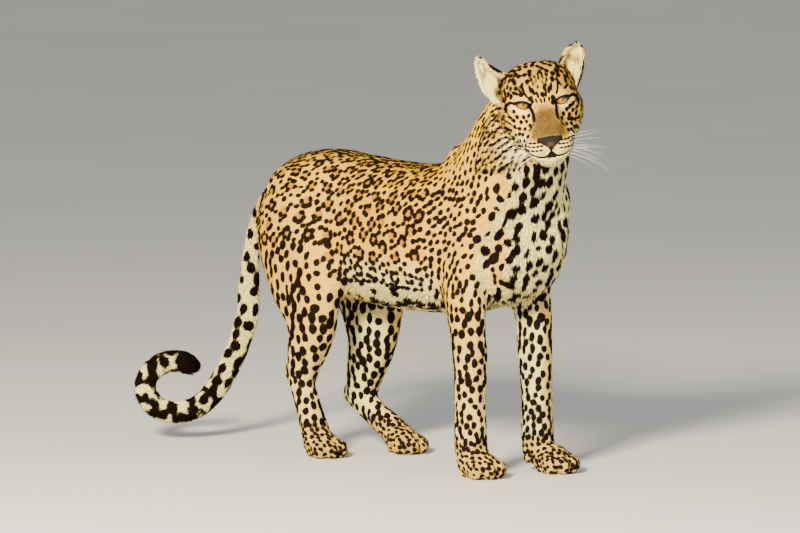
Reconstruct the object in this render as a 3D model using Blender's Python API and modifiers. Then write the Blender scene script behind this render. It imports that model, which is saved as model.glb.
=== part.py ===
"""A leopard standing at rest with its head turned to its right, as a life-size museum model.

Units are metres. +Z is up, +X runs from the tail to the chest and +Y to the animal's left. The paws
stand on the floor at Z = 0, and the origin lies on the floor under the middle of the model's box.
The body is modelled whole, from lofted limbs and muscles that a voxel remesh fuses, and is then
parted into its named pieces by cuts of GAP width.
"""

import math

import bmesh
import bpy
import numpy as np
from mathutils import Matrix, Vector
from mathutils.bvhtree import BVHTree

# Driving dimensions of the animal, measured from the point on the floor between its paws.
CROUP_TOP = 0.630
BACK_TOP = 0.612
BELLY_BOTTOM = 0.300
CHEST_BOTTOM = 0.335
RUMP_X = -0.518
CHEST_X = 0.328
TRUNK_HALF = 0.122  # half the width of the ribs
PAW_Y = 0.085  # from the middle line to the middle of a paw
FORE_PAW_X = {"right": 0.216, "left": 0.250}
HIND_PAW_SIZE = 0.96  # against a forepaw
EYES_AT = Vector((0.380, -0.0775, 0.7550))  # midway between the eyes
HEAD_TURN = math.radians(-37.5)  # about Z, to the animal's right
HEAD_PITCH = math.radians(4)  # nose down
HEAD_ROLL = math.radians(7.8)  # crown leaning to its right
EYE_RADIUS = 0.0150
EYE_APART = 0.0395  # from the middle of the face to the middle of an eye
LIDS_HALF_LENGTH = 13.0  # of the opening between the lids, in millimetres as the head
UPPER_LID = 6.0
LOWER_LID = 6.5
LIDS_SLANT = 0.16  # the outer corner of the eye higher than the inner
MOUTH_GROOVE = 0.0013
NOSTRIL = (5.0, 5.5, 2.8)  # half sizes of a nostril, in millimetres as the head
EAR_THICKNESS = 0.0042
EAR_WRAP = math.radians(100)  # how far the cup wraps round to each side

# How the solids are made.
GAP = 0.0003  # left between two pieces that meet
SHELL_POWER = 4  # how square the rounded boxes are that part shoulders and thighs from the trunk
BODY_VOXEL = 0.0050
HEAD_VOXEL = 0.0022
VOXEL = 0.0026
BODY_SMOOTHING = 40
HEAD_SMOOTHING = 10
NAPE_SMOOTHING = 40
FINE_SMOOTHING = 5
LEG_HEIGHT = 0.20  # below it and on the tail, only LEG_SOFTNESS of the smoothing is done
LEG_SOFTNESS = 0.06
FACE_DEPTH = 20  # from the eyes back to where the nape's smoothing starts, in millimetres
NECK_FROM = 0.45  # how high it starts
TRIANGLES = 8400  # of the whole surface before its cuts
HEAD_MIDDLE = (0, 0, -20)  # of the ball that the head fills, in its own millimetres
HEAD_REACH = 125
HEAD_CARE = 0.02  # how much more the head keeps of them; 0 gives it no more than its bends do
ORIGIN = Vector((-0.1395, -0.0345, 0.0))  # the floor point under the middle of the model's box

SIDES = {"right": -1, "left": 1}
Y_AXIS = Vector((0, 1, 0))
Z_AXIS = Vector((0, 0, 1))

FUR = (0.55, 0.36, 0.17)
IRIS = (0.55, 0.42, 0.16)


def material(name, colour, roughness):
    """A plain Principled material, of nothing metal."""
    made = bpy.data.materials.new(name)
    made.use_nodes = True
    shader = made.node_tree.nodes["Principled BSDF"]
    shader.inputs["Base Color"].default_value = (*colour, 1)
    shader.inputs["Roughness"].default_value = roughness
    shader.inputs["Metallic"].default_value = 0.0
    return made


def collection(name):
    made = bpy.data.collections.new(name)
    bpy.context.scene.collection.children.link(made)
    return made


def object_from(mesh_data, name, home):
    """A mesh object made from a bmesh, linked to its collection."""
    mesh = bpy.data.meshes.new(name)
    mesh_data.to_mesh(mesh)
    mesh_data.free()
    made = bpy.data.objects.new(name, mesh)
    home.objects.link(made)
    return made


def evaluated_copy(source, name, home):
    """A plain mesh object of what a modified object looks like."""
    graph = bpy.context.evaluated_depsgraph_get()
    mesh = bpy.data.meshes.new_from_object(source.evaluated_get(graph))
    made = bpy.data.objects.new(name, mesh)
    home.objects.link(made)
    return made


def remove(thing):
    bpy.data.objects.remove(thing, do_unlink=True)


# Forms. Each adds one closed surface to a bmesh.


def blend_stations(stations, steps):
    """More stations along a smooth curve through the given ones, each a tuple of numbers."""
    rows = np.array(stations, dtype=float)
    padded = np.vstack([2 * rows[0] - rows[1], rows, 2 * rows[-1] - rows[-2]])
    result = []
    for i in range(1, len(padded) - 2):
        before, here, after, beyond = padded[i - 1:i + 3]
        for step in range(steps):
            t = step / steps
            result.append(0.5 * (2 * here + (after - before) * t
                                 + (2 * before - 5 * here + 4 * after - beyond) * t ** 2
                                 + (3 * here - before - 3 * after + beyond) * t ** 3))
    result.append(rows[-1])
    return result


def loft(body, stations, across=Y_AXIS, sides=24, steps=4, power=2.2):
    """A closed form through stations of (x, y, z, half width, up, down), sizes square to its path."""
    rows = blend_stations(stations, steps)
    centres = [Vector(row[:3]) for row in rows]
    rings = []
    for i, row in enumerate(rows):
        ahead = centres[min(i + 1, len(rows) - 1)] - centres[max(i - 1, 0)]
        ahead.normalize()
        side = (across - ahead * across.dot(ahead)).normalized()
        up = ahead.cross(side)
        half, rise, drop = (max(value, 0.0005) for value in row[3:6])
        ring = []
        for k in range(sides):
            angle = 2 * math.pi * k / sides
            c, s = math.cos(angle), math.sin(angle)
            reach_side = half * math.copysign(abs(c) ** (2 / power), c)
            reach_up = (rise if s > 0 else drop) * math.copysign(abs(s) ** (2 / power), s)
            point = centres[i] + side * reach_side + up * reach_up
            ring.append(body.verts.new(point))
        rings.append(ring)
    for first, second in zip(rings, rings[1:]):
        for k in range(sides):
            after = (k + 1) % sides
            body.faces.new((first[k], first[after], second[after], second[k]))
    body.faces.new(rings[0][::-1])
    body.faces.new(rings[-1])


def blob(body, centre, radii, turn=(0, 0, 0), place=None):
    """An ellipsoid, its axes turned by three angles in degrees."""
    rotation = Matrix.Rotation(math.radians(turn[2]), 4, "Z")
    rotation = rotation @ Matrix.Rotation(math.radians(turn[1]), 4, "Y")
    rotation = rotation @ Matrix.Rotation(math.radians(turn[0]), 4, "X")
    matrix = Matrix.Translation(centre) @ rotation @ Matrix.Diagonal((*radii, 1))
    if place:
        matrix = place @ matrix
    bmesh.ops.create_uvsphere(body, u_segments=24, v_segments=14, radius=1, matrix=matrix)


def head_frame():
    """From the head's own frame (X ahead, Y left, Z up, millimetres) to the model's."""
    turn = Matrix.Rotation(HEAD_TURN, 4, "Z") @ Matrix.Rotation(HEAD_PITCH, 4, "Y")
    turn = turn @ Matrix.Rotation(HEAD_ROLL, 4, "X")
    return Matrix.Translation(EYES_AT) @ turn @ Matrix.Scale(0.001, 4)


HEAD = head_frame()


# The parts of the body, in the order of a drawing: trunk, neck, limbs, tail, head.


def add_trunk(body):
    top, bottom = BACK_TOP, BELLY_BOTTOM
    profile = [  # x, top, bottom, half width
        (RUMP_X, 0.520, 0.465, 0.020),
        (RUMP_X + 0.020, 0.548, 0.428, 0.044),
        (-0.455, 0.584, 0.392, 0.072),
        (-0.400, CROUP_TOP - 0.014, 0.370, 0.102),
        (-0.320, CROUP_TOP, 0.350, 0.110),
        (-0.240, 0.624, 0.316, 0.104),
        (-0.150, top + 0.003, bottom + 0.003, 0.112),
        (-0.040, top, bottom, TRUNK_HALF),
        (0.050, 0.620, 0.304, TRUNK_HALF + 0.002),
        (0.110, 0.634, 0.316, 0.118),
        (0.180, 0.640, CHEST_BOTTOM, 0.108),
        (0.250, 0.625, 0.355, 0.096),
        (0.296, 0.595, 0.388, 0.080),
        (CHEST_X - 0.008, 0.552, 0.425, 0.052),
        (CHEST_X, 0.520, 0.455, 0.024),
    ]
    stations = []
    for x, high, low, half in profile:
        middle = low + 0.47 * (high - low)
        stations.append((x, 0, middle, half, high - middle, middle - low))
    loft(body, stations, sides=32, power=2.15)
    for sign in SIDES.values():
        blob(body, (0.128, sign * 0.036, 0.600), (0.078, 0.029, 0.066), (0, 20, 0))  # shoulder blade
        blob(body, (0.190, sign * 0.076, 0.500), (0.080, 0.046, 0.120), (0, 18, 0))  # shoulder
        blob(body, (0.250, sign * 0.050, 0.455), (0.048, 0.042, 0.080))  # point of the shoulder
        blob(body, (0.225, sign * 0.035, 0.545), (0.090, 0.080, 0.090))  # breast, under the neck
        blob(body, (-0.362, sign * 0.066, 0.490), (0.092, 0.056, 0.112), (0, -20, 0))  # haunch
        blob(body, (-0.440, sign * 0.044, 0.462), (0.057, 0.047, 0.082))  # seat
        blob(body, (-0.412, sign * 0.062, 0.418), (0.050, 0.044, 0.094), (0, -22, 0))  # back of the thigh


def add_neck(body):
    stations = [  # from the shoulders up to the back of the skull
        (0.130, 0.000, 0.520, 0.106, 0.125, 0.140),
        (0.190, -0.004, 0.575, 0.108, 0.120, 0.152),
        (0.236, -0.014, 0.635, 0.102, 0.113, 0.132),
        (0.270, -0.022, 0.690, 0.091, 0.097, 0.110),
        (0.305, -0.028, 0.736, 0.072, 0.090, 0.080),
        (0.332, -0.044, 0.772, 0.060, 0.066, 0.060),
    ]
    loft(body, stations, across=Vector((0.35, 1, 0)).normalized())


def add_forelegs(body):
    elbows = {"right": 0.150, "left": 0.158}
    ankles = {"right": 0.183, "left": 0.196}
    for side, sign in SIDES.items():
        y = sign * PAW_Y
        ankle_x = ankles[side]
        elbow_x = elbows[side]
        stations = [  # down the leg: half width across, then ahead and behind
            (elbow_x + 0.030, sign * 0.078, 0.450, 0.044, 0.060, 0.070),
            (elbow_x + 0.020, sign * 0.082, 0.375, 0.041, 0.046, 0.060),
            (elbow_x + 0.026, y, 0.310, 0.037, 0.042, 0.046),
            (elbow_x + 0.032, y, 0.230, 0.033, 0.037, 0.036),
            (ankle_x - 0.001, y, 0.150, 0.030, 0.033, 0.033),
            (ankle_x, y, 0.100, 0.031, 0.035, 0.034),
            (ankle_x + 0.002, y, 0.055, 0.032, 0.035, 0.033),
            (ankle_x + 0.008, y, 0.018, 0.032, 0.036, 0.030),
        ]
        loft(body, stations)
        add_paw(body, Vector((FORE_PAW_X[side], y, 0)), 1.0)


def add_paw(body, middle, size):
    """A paw: its back, four toes in an arc and the pads under them."""
    place = Matrix.Translation(middle) @ Matrix.Scale(size, 4)
    blob(body, (-0.014, 0, 0.028), (0.044, 0.036, 0.030), place=place)
    blob(body, (-0.022, 0, 0.012), (0.026, 0.030, 0.018), place=place)
    for spread, ahead in ((-0.0290, 0.006), (-0.0105, 0.024), (0.0105, 0.024), (0.0290, 0.006)):
        blob(body, (ahead, spread, 0.020), (0.031, 0.0128, 0.0215), (0, 16, spread * 500), place)


HIND_JOINTS = {  # knee, hock and middle of the paw, as x and z
    "right": ((-0.240, 0.346), (-0.332, 0.162), -0.255),
    "left": ((-0.245, 0.330), (-0.350, 0.104), -0.196),
}


def add_hindlegs(body):
    for side, ((knee_x, knee_z), (hock_x, hock_z), paw_x) in HIND_JOINTS.items():
        sign = SIDES[side]
        y = sign * 0.088
        shank = Vector((hock_x - knee_x, 0, hock_z - knee_z))
        stations = [
            (-0.340, sign * 0.066, 0.545, 0.050, 0.070, 0.066),
            (-0.350, sign * 0.080, 0.470, 0.056, 0.100, 0.110),
            (knee_x - 0.064, sign * 0.086, knee_z + 0.055, 0.052, 0.094, 0.132),
            (knee_x - 0.054, y, knee_z - 0.010, 0.047, 0.084, 0.114),
            (knee_x + 0.45 * shank.x - 0.010, y, knee_z + 0.45 * shank.z, 0.041, 0.060, 0.070),
            (knee_x + 0.80 * shank.x, y, knee_z + 0.80 * shank.z, 0.033, 0.044, 0.044),
            (hock_x + 0.007, y, hock_z, 0.028, 0.037, 0.030),
        ]
        loft(body, stations)
        foot = Vector((paw_x - 0.018 - hock_x, 0, 0.030 - hock_z))
        stations = []
        for share, half, rise, drop in ((-0.10, 0.020, 0.016, 0.018), (0.08, 0.026, 0.028, 0.024),
                                        (0.45, 0.027, 0.028, 0.026), (0.80, 0.031, 0.028, 0.026),
                                        (1.00, 0.034, 0.026, 0.024)):
            stations.append((hock_x + share * foot.x, y, hock_z + share * foot.z, half, rise, drop))
        loft(body, stations)
        blob(body, (hock_x - 0.010, y, hock_z + 0.006), (0.028, 0.021, 0.030), (0, -20, 0))
        add_paw(body, Vector((paw_x, sign * PAW_Y, 0)), HIND_PAW_SIZE)


TAIL_POINTS = (
    (-0.440, 0.000, 0.560, 0.032), (-0.502, 0.006, 0.530, 0.026), (-0.549, 0.006, 0.494, 0.0220),
    (-0.576, 0.004, 0.446, 0.0195), (-0.586, 0.000, 0.390, 0.0205), (-0.586, -0.006, 0.326, 0.0250),
    (-0.583, -0.014, 0.262, 0.0265), (-0.592, -0.036, 0.191, 0.0265), (-0.610, -0.062, 0.128, 0.0265),
    (-0.632, -0.092, 0.082, 0.0262), (-0.662, -0.128, 0.062, 0.0258), (-0.692, -0.160, 0.068, 0.0256),
    (-0.712, -0.180, 0.098, 0.0255), (-0.713, -0.178, 0.134, 0.0255), (-0.696, -0.154, 0.162, 0.0258),
    (-0.674, -0.126, 0.168, 0.0262), (-0.656, -0.109, 0.158, 0.0245), (-0.648, -0.102, 0.142, 0.0150),
)


def add_tail(body):
    stations = [(x, y, z, radius, radius, radius) for x, y, z, radius in TAIL_POINTS]
    loft(body, stations, across=Vector((0.669, 0.743, 0)).normalized().cross(Z_AXIS), sides=20, power=2)


# Half sections of the head, by their place ahead of the eyes: (out, up) from the middle of its top
# by bridge, brow, cheekbone, cheek, lower cheek, lip and jaw to the middle of its underside.
HEAD_SECTIONS = {
    -112: ((0, 56), (28, 51), (52, 34), (64, 8), (68, -22), (62, -52), (48, -74), (32, -90), (0, -97)),
    -82: ((0, 70), (34, 67), (60, 49), (74, 14), (79, -22), (73, -54), (58, -78), (36, -98), (0, -106)),
    -50: ((0, 73), (35, 70), (61, 51), (77, 14), (83, -22), (77, -53), (60, -80), (37, -101), (0, -110)),
    -25: ((0, 63), (32, 61), (57, 44), (73, 10), (80, -22), (74, -51), (57, -79), (36, -102), (0, -111)),
    -6: ((0, 49), (25, 48), (49, 35), (65, 8), (72, -22), (68, -51), (54, -79), (33, -101), (0, -109)),
    6: ((0, 34), (22, 34), (42, 23), (55, -3), (62, -28), (62, -54), (50, -79), (29, -101), (0, -109)),
    18: ((0, 12), (19, 11), (31, -5), (46, -26), (55, -48), (56, -69), (45, -87), (25, -104), (0, -111)),
    34: ((0, -12), (20, -13), (28, -24), (38, -41), (47, -58), (51, -76), (43, -93), (22, -109), (0, -116)),
    50: ((0, -32), (21, -33), (29, -41), (35, -54), (42, -68), (46, -82), (36, -97), (19, -113), (0, -121)),
    62: ((0, -46), (19, -47), (25, -54), (32, -64), (39, -75), (40, -85), (29, -95), (15, -110), (0, -119)),
    70: ((0, -55), (15, -56), (19, -62), (24, -70), (28, -78), (28, -85), (18, -92), (10, -101), (0, -110)),
}


def add_head(body):
    """The skull, cheeks, muzzle and jaw: a loft between the half sections and their mirror."""
    rows = []
    for ahead, half in HEAD_SECTIONS.items():
        ring = list(half) + [(-out, up) for out, up in half[-2:0:-1]]
        around = blend_stations(ring + ring[:3], 3)[:-6]
        around = around[3:] + around[:3]
        rows.append([value for out, up in around for value in (ahead, out, up)])
    rings = []
    for row in blend_stations(rows, 4):
        rings.append([body.verts.new(HEAD @ Vector(row[k:k + 3])) for k in range(0, len(row), 3)])
    count = len(rings[0])
    for first, second in zip(rings, rings[1:]):
        for k in range(count):
            after = (k + 1) % count
            body.faces.new((first[k], first[after], second[after], second[k]))
    body.faces.new(rings[0][::-1])
    body.faces.new(rings[-1])
    bmesh.ops.recalc_face_normals(body, faces=body.faces)


def add_face(body):
    """What stands out on the smoothed head: nose pad, whisker pads, chin, brows and lids."""
    blob(body, (69, 0, -61), (13, 24, 8), (0, 40, 0), place=HEAD)  # top of the nose pad
    blob(body, (74, 0, -69), (8, 18, 9), place=HEAD)  # its front
    blob(body, (75, 0, -77), (6, 8, 8), place=HEAD)  # its lower point
    blob(body, (47, 0, -109), (19, 23, 14), place=HEAD)  # chin
    blob(body, (-50, 0, -80), (36, 44, 40), place=HEAD)  # throat
    for sign in (-1, 1):
        blob(body, (44, sign * 22, -81), (30, 23, 18), (0, 12, sign * -10), place=HEAD)  # whisker pad
        blob(body, (-5, sign * 36, 18), (16, 22, 10), (0, 35, sign * 27), place=HEAD)  # brow
        blob(body, (9, sign * 25, -13), (14, 12, 14), (0, 30, 0), place=HEAD)  # inner corner of the eye
        blob(body, (6, sign * 38, -24), (12, 20, 22), (0, -25, sign * 25), place=HEAD)  # under the eye
        blob(body, (0, sign * 1000 * EYE_APART, 0), (17, 19, 17), place=HEAD)  # lids


def ramp(value, low, high):
    """How far a value has come from low to high, from 0 to 1."""
    return min(max((value - low) / (high - low), 0), 1)


def softness(point):
    """How much of the body's smoothing a point takes: all on the trunk, little on paws and tail."""
    trunk = ramp(point.z, LEG_HEIGHT, LEG_HEIGHT + 0.16) if point.x > RUMP_X else 0
    return LEG_SOFTNESS + (1 - LEG_SOFTNESS) * trunk


def behind_face(point):
    """How far a point lies behind the face, from 0 on it to 1 on the nape and throat."""
    place = HEAD.inverted() @ point
    return ramp(-place.x, FACE_DEPTH, FACE_DEPTH + 30) if point.z > NECK_FROM else 0


def fuse(forms, home, name, voxel):
    """The outer surface of overlapping closed forms, as one closed mesh."""
    remesh = forms.modifiers.new("fuse", "REMESH")
    remesh.mode = "VOXEL"
    remesh.voxel_size = voxel
    fused = evaluated_copy(forms, name, home)
    remove(forms)
    return fused


def soften(target, weight, rounds, home):
    """The mesh smoothed by rounds of averaging, each point by its own weight."""
    group = target.vertex_groups.new(name="softness")
    for vertex in target.data.vertices:
        group.add([vertex.index], weight(vertex.co), "REPLACE")
    smooth = target.modifiers.new("soften", "SMOOTH")
    smooth.factor = 0.5
    smooth.iterations = rounds
    smooth.vertex_group = group.name
    result = evaluated_copy(target, target.name + "_soft", home)
    remove(target)
    return result


def join(objects, name, home):
    """Several meshes as one object, still separate surfaces."""
    merged = bmesh.new()
    for thing in objects:
        merged.from_mesh(thing.data)
        remove(thing)
    return object_from(merged, name, home)


def build_whole(home):
    """The whole animal but its ears and eyes as one closed, smoothed surface."""
    body = bmesh.new()
    add_trunk(body)
    add_neck(body)
    add_forelegs(body)
    add_hindlegs(body)
    add_tail(body)
    body = fuse(object_from(body, "body_forms", home), home, "body", BODY_VOXEL)
    body = soften(body, softness, BODY_SMOOTHING, home)
    head = bmesh.new()
    add_head(head)
    head = fuse(object_from(head, "head_forms", home), home, "head", HEAD_VOXEL)
    head = soften(head, lambda point: 1, HEAD_SMOOTHING, home)
    face = bmesh.new()
    add_face(face)
    face = object_from(face, "face_forms", home)
    whole = fuse(join([body, head, face], "whole_forms", home), home, "whole", VOXEL)
    whole = soften(whole, behind_face, NAPE_SMOOTHING, home)
    return soften(whole, lambda point: 1, FINE_SMOOTHING, home)


def thin_out(whole, home):
    """The same surface with fewer triangles, most of them where it bends and on the head."""
    group = whole.vertex_groups.new(name="may_go")
    to_head = HEAD.inverted()
    for vertex in whole.data.vertices:
        offset = to_head @ vertex.co - Vector(HEAD_MIDDLE)
        group.add([vertex.index], 0.5 if offset.length < HEAD_REACH else 1.0, "REPLACE")
    thin = whole.modifiers.new("thin", "DECIMATE")
    thin.ratio = TRIANGLES / (2 * len(whole.data.polygons))
    thin.vertex_group = group.name
    thin.vertex_group_factor = HEAD_CARE
    result = evaluated_copy(whole, "thinned", home)
    remove(whole)
    return result


# Cuts.


def cut(target, cutters, home):
    """The target with each cutter taken from it, the cutters then removed."""
    name = target.name
    for cutter in cutters:
        trim = target.modifiers.new("cut", "BOOLEAN")
        trim.operation = "DIFFERENCE"
        trim.object = cutter
        trim.solver = "EXACT"
        result = evaluated_copy(target, name, home)
        remove(target)
        remove(cutter)
        target = result
    target.name = name
    return target


def disc(centre, normal, radius, home):
    """A round cutter as thin as the gap, square to a direction."""
    turn = Vector(normal).to_track_quat("Z", "Y").to_matrix().to_4x4()
    body = bmesh.new()
    bmesh.ops.create_cone(body, cap_ends=True, segments=32, radius1=radius, radius2=radius,
                          depth=GAP, matrix=Matrix.Translation(centre) @ turn)
    return object_from(body, "cutter", home)


def floor_block(home):
    """Everything below the floor, which leaves small flats under the paws."""
    body = bmesh.new()
    matrix = Matrix.Translation((0, 0, -0.05)) @ Matrix.Diagonal((2, 1, 0.1, 1))
    bmesh.ops.create_cube(body, size=1, matrix=matrix)
    return object_from(body, "floor_block", home)


def shell(centre, radii, home):
    """A hollow rounded box as thin as the gap, which parts a limb's root from the trunk."""
    body = bmesh.new()
    bmesh.ops.create_icosphere(body, subdivisions=2, radius=1)
    for vertex in body.verts:
        reach = sum(abs(value) ** SHELL_POWER for value in vertex.co) ** (-1 / SHELL_POWER)
        vertex.co = Vector(centre) + Vector([reach * v * r for v, r in zip(vertex.co, radii)])
    form = object_from(body, "shell_form", home)
    skin = form.modifiers.new("skin", "SOLIDIFY")
    skin.thickness = GAP
    skin.offset = 0
    made = evaluated_copy(form, "shell", home)
    remove(form)
    return made


def on_surface(tree, point):
    """The place on the head nearest a point given in the head's millimetres."""
    return tree.find_nearest(HEAD @ Vector(point))[0]


def groove(points, radius, home):
    """A round cutter along a line on the skin."""
    curve = bpy.data.curves.new("groove", "CURVE")
    curve.dimensions = "3D"
    curve.bevel_depth = radius
    curve.bevel_resolution = 0
    curve.use_fill_caps = True
    spline = curve.splines.new("POLY")
    spline.points.add(len(points) - 1)
    for slot, point in zip(spline.points, points):
        slot.co = (*point, 1)
    tube = bpy.data.objects.new("groove", curve)
    home.objects.link(tube)
    made = evaluated_copy(tube, "groove_solid", home)
    remove(tube)
    welded = bmesh.new()
    welded.from_mesh(made.data)
    bmesh.ops.remove_doubles(welded, verts=welded.verts, dist=0.00001)
    bmesh.ops.recalc_face_normals(welded, faces=welded.faces)
    remove(made)
    return object_from(welded, "groove", home)


def face_lines(head, home):
    """Cutters for the line of the mouth, the groove above it and the nostrils."""
    tree = BVHTree.FromObject(head, bpy.context.evaluated_depsgraph_get())
    side = [(71, 0, -93), (69, 9, -96), (63, 20, -99), (53, 30, -100), (40, 41, -101), (26, 47, -99),
            (12, 51, -93)]
    mouth = [(x, -y, z) for x, y, z in side[:0:-1]] + side
    lines = [groove([on_surface(tree, point) for point in mouth], MOUTH_GROOVE, home)]
    philtrum = [(81, 0, -76), (78, 0, -84), (73, 0, -92)]
    lines.append(groove([on_surface(tree, point) for point in philtrum], 0.8 * MOUTH_GROOVE, home))
    for sign in (-1, 1):
        pit = bmesh.new()
        radii = Vector(NOSTRIL)
        matrix = HEAD @ Matrix.Translation((81, sign * 10, -69)) @ Matrix.Rotation(-0.5 * sign, 4, "X")
        bmesh.ops.create_uvsphere(pit, u_segments=12, v_segments=8, radius=1,
                                  matrix=matrix @ Matrix.Diagonal((*radii, 1)))
        lines.append(object_from(pit, "nostril", home))
    return lines


def eye_socket(sign, home):
    """The ball's bed and the almond opening between the lids, in front of it."""
    centre = (0, sign * 1000 * EYE_APART, 0)
    bed = bmesh.new()
    radius = 1000 * (EYE_RADIUS + GAP)
    matrix = HEAD @ Matrix.Translation(centre) @ Matrix.Scale(radius, 4)
    bmesh.ops.create_uvsphere(bed, u_segments=20, v_segments=14, radius=1, matrix=matrix)
    almond = bmesh.new()
    count = 8
    rings = []
    for ahead in (0.0, 30.0):
        ring = []
        for k in range(2 * count):
            share = (k % count) / count
            upper = k < count
            y = LIDS_HALF_LENGTH * math.cos(math.pi * share) * (1 if upper else -1)
            bow = math.sin(math.pi * share)
            z = UPPER_LID * bow if upper else -LOWER_LID * bow
            point = Vector((ahead, y * sign, z + LIDS_SLANT * y))
            ring.append(almond.verts.new(HEAD @ (Vector(centre) + point)))
        rings.append(ring)
    for k in range(2 * count):
        after = (k + 1) % (2 * count)
        almond.faces.new((rings[0][k], rings[0][after], rings[1][after], rings[1][k]))
    almond.faces.new(rings[0][::-1])
    almond.faces.new(rings[1])
    bmesh.ops.recalc_face_normals(almond, faces=almond.faces)
    return [object_from(bed, "eye_bed", home), object_from(almond, "eye_opening", home)]


# Rows of each ear from its root to its tip, in the head's millimetres: the middle of the row's
# opening, from there to the row's outer or lower end, and from there to the back of the cup.
EAR_ROWS = {
    "left": (
        ((-52, 52, 18), (3, 12, -30), (-22, 2, 4)),
        ((-52, 64, 33), (4, 14, -29), (-23, 4, 4)),
        ((-52, 73, 49), (5, 21, -20), (-20, 4, 3)),
        ((-53, 79, 68), (5, 23, -9), (-15, 3, 2)),
        ((-55, 84, 84), (4, 19, -5), (-10, 2, 1)),
        ((-56, 86, 93), (2, 13, -2), (-6, 1, 0)),
        ((-57, 87, 97), (1, 5, 0), (-2, 0, 0)),
    ),
    "right": (
        ((-54, -60, 20), (-4, -8, -30), (-22, 4, 8)),
        ((-54, -76, 31), (-6, -9, -29), (-22, 4, 10)),
        ((-57, -91, 46), (-8, -13, -21), (-17, 4, 12)),
        ((-62, -101, 64), (-7, -10, -16), (-12, 3, 9)),
        ((-66, -106, 78), (-5, -8, -12), (-8, 2, 7)),
        ((-69, -109, 87), (-3, -5, -7), (-5, 2, 4)),
        ((-71, -110, 92), (-1, -2, -3), (-2, 1, 2)),
    ),
}
EAR_STEPS = 2  # rows between two given ones
EAR_SEGMENTS = 12  # from one edge of the cup round its back to the other


def ear(side, home):
    """A rounded cup, open ahead: a bent sheet made solid, its root sunk in the head."""
    rows = [[value for vector in row for value in vector] for row in EAR_ROWS[side]]
    body = bmesh.new()
    grid = []
    for row in blend_stations(rows, EAR_STEPS):
        middle, across, back = Vector(row[:3]), Vector(row[3:6]), Vector(row[6:])
        arc = []
        for i in range(EAR_SEGMENTS + 1):
            angle = EAR_WRAP * (2 * i / EAR_SEGMENTS - 1)
            point = middle + across * math.sin(angle) + back * math.cos(angle)
            arc.append(body.verts.new(HEAD @ point))
        grid.append(arc)
    for low, high in zip(grid, grid[1:]):
        for i in range(EAR_SEGMENTS):
            body.faces.new((low[i], low[i + 1], high[i + 1], high[i]))
    sheet = object_from(body, "ear_sheet", home)
    thick = sheet.modifiers.new("thick", "SOLIDIFY")
    thick.thickness = EAR_THICKNESS
    thick.offset = 0
    made = evaluated_copy(sheet, "ear_" + side, home)
    remove(sheet)
    return made


def swollen(source, home):
    """A copy of a surface moved out by the gap, to trim what grows from it."""
    copy = evaluated_copy(source, "trimmer", home)
    swell = copy.modifiers.new("swell", "DISPLACE")
    swell.strength = GAP
    swell.mid_level = 0
    result = evaluated_copy(copy, "trimmer", home)
    remove(copy)
    return result


def eyeball(name, sign, home):
    body = bmesh.new()
    centre = HEAD @ Vector((0, sign * 1000 * EYE_APART, 0))
    turn = HEAD.to_euler().to_matrix().to_4x4() @ Matrix.Rotation(math.radians(90), 4, "Y")
    bmesh.ops.create_uvsphere(body, u_segments=18, v_segments=11, radius=EYE_RADIUS,
                              matrix=Matrix.Translation(centre) @ turn)
    return object_from(body, name, home)


def slice_up(whole, home):
    """The body parted into pieces, by name: each is the one nearest to its own point."""
    cutters = [disc(*spec, home) for spec in CUTS] + [shell(*spec, home) for spec in SHELLS]
    whole = cut(whole, cutters, home)
    body = bmesh.new()
    body.from_mesh(whole.data)
    body.verts.ensure_lookup_table()
    island = {}
    for vertex in body.verts:
        if vertex in island:
            continue
        island[vertex] = number = len(island)
        stack = [vertex]
        while stack:
            for edge in stack.pop().link_edges:
                for end in edge.verts:
                    if end not in island:
                        island[end] = number
                        stack.append(end)
    groups = {}
    for vertex, number in island.items():
        groups.setdefault(number, []).append(vertex)
    pieces = {}
    for name, seed in SEEDS.items():
        nearest = min(body.verts, key=lambda vertex: (vertex.co - Vector(seed)).length)
        members = set(groups[island[nearest]])
        piece = bmesh.new()
        made = {vertex: piece.verts.new(vertex.co) for vertex in body.verts if vertex in members}
        for face in body.faces:
            if face.verts[0] in members:
                piece.faces.new([made[vertex] for vertex in face.verts])
        bmesh.ops.triangulate(piece, faces=piece.faces)
        pieces[name] = object_from(piece, name, home)
    body.free()
    remove(whole)
    return pieces


# Where each piece ends: the middle of a round cut, its normal and its radius.
CUTS = [
    ((0.300, -0.030, 0.700), (0.62, -0.30, 0.72), 0.125),  # head from neck
    ((0.232, -0.010, 0.600), (0.72, -0.05, 0.70), 0.225),  # neck from trunk
    ((-0.555, 0.006, 0.490), (0.45, 0.0, 0.89), 0.050),  # tail from trunk
    ((-0.586, -0.001, 0.385), (0.0, 0.0, 1.0), 0.040),
    ((-0.583, -0.017, 0.250), (0.0, 0.15, 1.0), 0.040),
    ((-0.612, -0.065, 0.122), (0.36, 0.47, 0.80), 0.040),
    ((-0.672, -0.139, 0.061), (0.67, 0.74, 0.0), 0.038),
    ((-0.715, -0.181, 0.118), (0.0, 0.0, 1.0), 0.034),
    ((-0.675, -0.127, 0.168), (0.67, 0.74, 0.05), 0.034),
]
SHELLS = []
SEEDS = {
    "head": (0.42, -0.11, 0.70), "neck": (0.29, -0.02, 0.65), "torso": (-0.04, 0.12, 0.45),
    "tail_1": (-0.60, 0.0, 0.43), "tail_2": (-0.61, -0.01, 0.32), "tail_3": (-0.612, -0.036, 0.19),
    "tail_4": (-0.645, -0.108, 0.04), "tail_5": (-0.72, -0.19, 0.08), "tail_6": (-0.72, -0.19, 0.16),
    "tail_7": (-0.64, -0.10, 0.165),
}
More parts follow.
